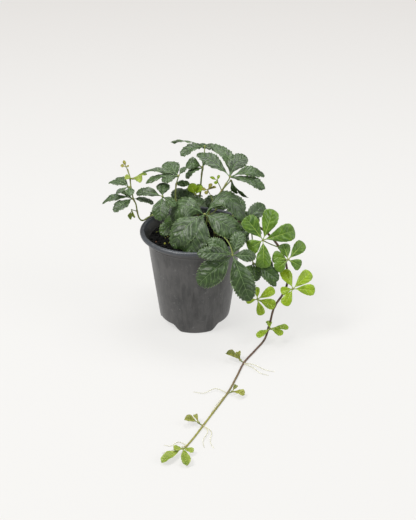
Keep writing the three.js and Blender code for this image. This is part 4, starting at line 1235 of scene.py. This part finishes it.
# Pot
print("moulding the pot")
pot = {
    "height": 97.5,
    "lipRadius": 52.5,
    "lipBand": 5.3,
    "mouthRadius": 48,
    "bodyTop": 45.9,
    "bodyFoot": 33.8,
    "wall": 1.3,
    "floor": 1.8,
    "sides": 240,
    "bodyRows": 25,
    "insideRows": 12,
    "insideTop": 1.5,  # under the lip's foot
    "footTurn": 3,
    "footRound": 1.9,
    "insideRound": 2,
    "notchFoot": 37,
    "notchTop": 21,
    "notchHeight": 6.5,
    "notchEase": 3.5,
    "notchKnee": 0.25,  # share of its height at the outline's lower bend
    "notchSteps": 30,
    "notchDepth": 7.5,
    "notchBend": 1.4,  # how wide the bend at a notch's back is
    "underside": (0.3, 0.55, 0.72, 0.77, 0.79, 0.81, 0.83, 0.85, 0.88, 0.93),  # rings: shares of the radius
    "flareHeight": 10.2,  # from the bead where the lip's flare starts to its top
    "flareOut": 0.25,
    "flareBends": ((0.5, 3.2), (0.4, 3.0)),
    "bead": 0.4,
    "beadGap": 0.2,
    "lipSide": 2.4,
    "lipRound": 1.6,
    "mouthRound": 1.4,
    "mouthFoot": (0.5, 2.6),  # inside the mouth, and under the top
    "drainRadius": 3,
    "drainInset": 0.6,
    "drainSides": 24,
    "drainReach": (-3, 5),  # of the cutter, below and above a notch's top
    "sharp": 32,  # degrees over which an edge is drawn sharp
}
lipFoot = pot["height"] - pot["lipBand"]
beadFoot = pot["height"] - pot["flareHeight"]
# each notch's middle, a quarter turn on from where it is on the pot
notchTurns = [math.radians(pot["footTurn"] + 120 * (i + 0.5)) for i in range(3)]


def bodyRadius(z):
    return pot["bodyFoot"] + (pot["bodyTop"] - pot["bodyFoot"]) * z / lipFoot


def arc(x, z, radius, start, end, steps=6):
    turns = [math.radians(start + (end - start) * i / steps) for i in range(steps + 1)]
    return [(x + radius * math.cos(a), z + radius * math.sin(a)) for a in turns]


def notchSide(grow):
    # half of a notch's outline, as its height's share at each place across
    level, half = pot["notchTop"] / 2, pot["notchFoot"] / 2 + grow
    ease, knee = pot["notchEase"], pot["notchKnee"]
    corners = [np.array(p) for p in ((level, 1), (level + ease, 1), (half - ease, knee), (half, 0))]
    return bezier(*corners, pot["notchSteps"]).T


notchSides = {grow: notchSide(grow) for grow in (0, pot["wall"])}


def raised(r, turn, grow=0):
    # 0 over the feet and 1 over the level part of a notch
    best = 0
    for notch in notchTurns:
        out = r * math.sin(notch - turn)
        across = abs(r * math.cos(notch - turn))
        back = (out - pot["bodyFoot"] + pot["notchDepth"] + grow) / pot["notchBend"] + 0.5
        back = min(1, max(0, back))
        height = float(np.interp(across, *notchSides[grow]))
        best = max(best, height * back * back * (3 - 2 * back))
    return best


def lipSection():
    # from the bead under the flare, over the lip and down to the mouth
    bead, flat, top = pot["bead"], pot["lipRound"], pot["height"]
    turned, mouth = pot["mouthRound"], pot["mouthRadius"]
    inside, under = pot["mouthFoot"]
    first, second = pot["flareBends"]
    start = np.array((bodyRadius(beadFoot) + pot["flareOut"], beadFoot + 2 * bead))
    end = np.array((pot["lipRadius"], top - pot["lipSide"]))
    section = arc(bodyRadius(beadFoot), beadFoot + bead, bead, -80, 80)
    section += [tuple(p) for p in bezier(start, start + first, end - second, end, 12)]
    section += arc(pot["lipRadius"] - flat, top - flat, flat, 0, 90)
    section += arc(mouth + turned, top - turned, turned, 90, 180, 5)
    return section + [(mouth - inside, top - under)]


def potColumn(turn, lipProfile):
    # the pot's section at one compass turn, from its underside round to its inner floor
    rise, soft = pot["notchHeight"], pot["footRound"]
    reach = bodyRadius(rise * raised(pot["bodyFoot"], turn)) - soft
    column = [(reach * share, rise * raised(reach * share, turn)) for share in pot["underside"]]
    for r, z in arc(reach, soft, soft, -90, 0, 7):
        column.append((r, z + rise * raised(r, turn)))
    low, high = column[-1][1], beadFoot - pot["beadGap"]
    column += [(bodyRadius(z), z) for z in np.linspace(low, high, pot["bodyRows"] + 1)[1:]]
    column += lipProfile
    wall, base, bend = pot["wall"], pot["floor"], pot["insideRound"]
    raiseInside = rise + wall - base
    low = base + bend + raiseInside * raised(bodyRadius(base) - wall, turn, wall)
    high = lipFoot - pot["insideTop"]
    column += [(bodyRadius(z) - wall, z) for z in np.linspace(high, low, pot["insideRows"])]
    reach = bodyRadius(low) - wall - bend
    for r, z in arc(reach, base + bend, bend, 0, -90, 5)[1:]:
        column.append((r, z + raiseInside * raised(r, turn, wall)))
    for share in pot["underside"][::-1]:
        column.append((reach * share, base + raiseInside * raised(reach * share, turn, wall)))
    return column


def newObject(name, points, faces):
    mesh = bpy.data.meshes.new(name)
    mesh.from_pydata([(x * mm, y * mm, z * mm) for x, y, z in points], [], faces)
    thing = bpy.data.objects.new(name, mesh)
    bpy.context.collection.objects.link(thing)
    return thing


def cutAway(thing, cutter):
    change = thing.modifiers.new("cut", "BOOLEAN")
    change.operation = "DIFFERENCE"
    change.solver = "EXACT"
    change.object = cutter
    view = bpy.context.evaluated_depsgraph_get()
    mesh = bpy.data.meshes.new_from_object(thing.evaluated_get(view))
    thing.modifiers.clear()
    thing.data = mesh
    bpy.data.objects.remove(cutter)


def potBody():
    sides = pot["sides"]
    lipProfile = lipSection()
    turns = [2 * math.pi * k / sides for k in range(sides)]
    columns = [potColumn(turn, lipProfile) for turn in turns]
    rings = len(columns[0])
    points = [(0, 0, 0), (0, 0, pot["floor"])]
    for turn, column in zip(turns, columns):
        points += [(r * math.cos(turn), r * math.sin(turn), z) for r, z in column]
    faces = []
    for k in range(sides):
        a, b = 2 + k * rings, 2 + (k + 1) % sides * rings
        faces.append((0, b, a))
        faces += [(a + j, b + j, b + j + 1, a + j + 1) for j in range(rings - 1)]
        faces.append((a + rings - 1, b + rings - 1, 1))
    return newObject("nurseryPot", points, faces)


def drainCutters():
    out = pot["bodyFoot"] - pot["notchDepth"] + pot["drainRadius"] + pot["drainInset"]
    count = pot["drainSides"]
    points, faces = [], []
    for turn in notchTurns:
        start = len(points)
        x, y = out * math.sin(turn), -out * math.cos(turn)
        ring = arc(x, y, pot["drainRadius"], 0, 360 - 360 / count, count - 1)
        points += [(x, y, pot["notchHeight"] + z) for z in pot["drainReach"] for x, y in ring]
        faces.append(tuple(range(start + count - 1, start - 1, -1)))
        faces.append(tuple(range(start + count, start + 2 * count)))
        for k in range(count):
            on = (k + 1) % count
            faces.append((start + k, start + on, start + count + on, start + count + k))
    return newObject("drains", points, faces)


potSolid = potBody()
cutAway(potSolid, drainCutters())

potLook = {
    "body": "333333",
    "cloud": "4d4c4c",
    "lip": "43464b",
    # painted highlight: a pale line along the bead under the lip's flare
    "bead": "7c7a79",
    "lipHeights": (4, 2),  # under the top, where the lip's lighter bluish tone starts and where it is full
    "beadHighlightShare": 0.8,
    "rough": (0.3, 0.44),
    "bump": (0.1, 0.5),
    # mask of plasticWear: colour and share
    "Streaks": ("62605e", 0.32),
    "Marks": ("171616", 0.4),
    "Scuffs": ("8b8c8a", 0.35),
    "Dust": ("a9aaa6", 0.7),
}
material, tree, shader = newMaterial("pot")
wear = placeGroup(tree, plasticWear, {"Scale": 1.0})
_, _, z = split(tree, objectPlace(tree))
onLip = span(tree, z, *((pot["height"] - under) * mm for under in potLook["lipHeights"]))
fromBead = calc(tree, "ABSOLUTE", calc(tree, "SUBTRACT", z, (beadFoot + pot["bead"]) * mm))
# painted highlight: the bead is drawn pale, as if it caught the light from above
paintedBeadHighlight = span(tree, fromBead, pot["bead"] * mm, 0.0, 0.0, potLook["beadHighlightShare"])
colour = blend(tree, wear["Clouds"], paint(potLook["body"]), paint(potLook["cloud"]))
colour = layOn(tree, colour, wear["Streaks"], potLook["Streaks"][1], potLook["Streaks"][0])
colour = blend(tree, onLip, colour, paint(potLook["lip"]))
colour = blend(tree, paintedBeadHighlight, colour, paint(potLook["bead"]))
for mask in ("Marks", "Scuffs", "Dust"):
    tint, share = potLook[mask]
    colour = layOn(tree, colour, wear[mask], share, tint)
tree.links.new(colour, shader["Base Color"])
tree.links.new(span(tree, wear["Clouds"], 0.0, 1.0, *potLook["rough"]), shader["Roughness"])
bump(tree, shader, wear["Height"], *potLook["bump"])
potSolid.data.materials.append(material)
potSolid.data.polygons.foreach_set("material_index", [0] * len(potSolid.data.polygons))
potSolid.data.shade_smooth()
potSolid.data.set_sharp_from_angle(angle=math.radians(pot["sharp"]))
ridePiece(potSolid, ["pot"])

# Soil: a crumbly skin over the plain fill
print("filling in the soil")
soil = {
    "rings": 44,
    "sides": 132,
    "rise": 1.9,  # of the skin's middle height above the fill's
    "relief": 1.5,
    "waves": ((0.09, 1), (0.3, 0.6), (0.9, 0.4)),  # how fine each one is, and how high
    "level": 3.7,  # of the slice of noise that the relief is read from
    "skirt": 2.5,
    "gap": 0.15,
    "crumbs": 620,
    "crumbSizes": (0.5, 1.9),
    "crumbPower": 2.5,  # makes most of them small
    "crumbsAway": 1.5,  # from the wall
    "bits": 46,  # pale and reddish bits
    "bitSizes": (0.5, 1.2),
    "squash": (0.5, 0.4),  # least, and how much more by luck
    "stretch": (0.6, 0.5),
    "proud": 0.25,  # share of its radius that a crumb's middle stands above the skin
    "seed": 21,
    "crumbSeed": 500,
}
soilRadius = bodyRadius(soilLevel) - pot["wall"] - soil["gap"]
luck = random.Random(soil["seed"])


def soilHeight(x, y):
    place = Vector((x, y, soil["level"]))
    rough = sum(high * noise.noise(place * fine) for fine, high in soil["waves"])
    return soilLevel + soil["rise"] + soil["relief"] * rough


def ringOf(out, heightAt):
    turns = [2 * math.pi * k / soil["sides"] for k in range(soil["sides"])]
    flat = [(out * math.cos(turn), out * math.sin(turn)) for turn in turns]
    return [(x, y, heightAt(x, y)) for x, y in flat]


def soilSkin():
    bottom = soilLevel - soil["skirt"]
    points = [(0, 0, soilHeight(0, 0))]
    for j in range(1, soil["rings"] + 1):
        points += ringOf(soilRadius * j / soil["rings"], soilHeight)
    points += ringOf(soilRadius, lambda x, y: bottom)
    points.append((0, 0, bottom))
    return {"points": np.array(points), "faces": cappedRings(soil["rings"] + 1, soil["sides"]), "kind": 0}


def soilCrumb(number):
    turn = 2 * math.pi * luck.random()
    out = (soilRadius - soil["crumbsAway"]) * math.sqrt(luck.random())
    x, y = out * math.cos(turn), out * math.sin(turn)
    low, high = soil["crumbSizes"]
    radius = low + (high - low) * luck.random() ** soil["crumbPower"]
    kind = 0
    if number >= soil["crumbs"]:
        low, high = soil["bitSizes"]
        radius = low + (high - low) * luck.random()
        kind = 1 + number % 2
    flat, flatter = soil["squash"]
    wide, wider = soil["stretch"]
    crumb = ball(np.zeros(3), radius, soil["crumbSeed"] + number, kind, flat + flatter * luck.random())
    crumb["points"] *= (1, wide + wider * luck.random(), 1)
    crumb["points"] += (x, y, soilHeight(x, y) + soil["proud"] * radius)
    crumb.pop("stemCoord")  # the soil's finishes don't read it
    return crumb


soilLook = {
    "patches": 160.0,
    "rough": (1.0, 0.9),
    "specular": 0.25,
    "grain": 1400.0,
    "bump": (0.4, 0.7),
    "colours": {
        "soil": ("030303", "0a0908"),
        "greenBits": ("5d6330", "8c8d3c"),
        "redBits": ("5a3a2c", "7c5a44"),
    },
}
soilMaterials = []
for label, (deep, light) in soilLook["colours"].items():
    material, tree, shader = newMaterial(label)
    spots = placeGroup(tree, mottle, {"Scale": soilLook["patches"]})
    tree.links.new(blend(tree, spots["Patches"], paint(deep), paint(light)), shader["Base Color"])
    tree.links.new(span(tree, spots["Specks"], 0.0, 1.0, *soilLook["rough"]), shader["Roughness"])
    shader["Specular IOR Level"].default_value = soilLook["specular"]
    bump(tree, shader, grain(tree, soilLook["grain"], detail=4), *soilLook["bump"])
    soilMaterials.append(material)
soilForms = [soilSkin()] + [soilCrumb(number) for number in range(soil["crumbs"] + soil["bits"])]
makePiece("soilSurface", soilForms, soilMaterials, [], sharp=40)
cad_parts["soil"].data.materials.clear()
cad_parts["soil"].data.materials.append(soilMaterials[0])

# Floor
print("laying the floor")
half = studio["floorSize"] / 2
corners = [(-half, -half, 0), (half, -half, 0), (half, half, 0), (-half, half, 0)]
floor = newObject("floor", corners, [(0, 1, 2, 3)])
material, tree, shader = newMaterial("floor")
_, y, _ = split(tree, objectPlace(tree))
away = span(tree, y, *(edge * mm for edge in studio["floorFade"]))
pale = blend(tree, away, paint(studio["floorNear"]), paint(studio["floorFar"]))
lit = 1 - studio["floorGlow"]
tree.links.new(blend(tree, 1.0, pale, (lit, lit, lit, 1), "MULTIPLY"), shader["Base Color"])
tree.links.new(pale, shader["Emission Color"])
shader["Roughness"].default_value = 1.0
shader["Specular IOR Level"].default_value = 0.0
shader["Emission Strength"].default_value = studio["floorGlow"]
floor.data.materials.append(material)
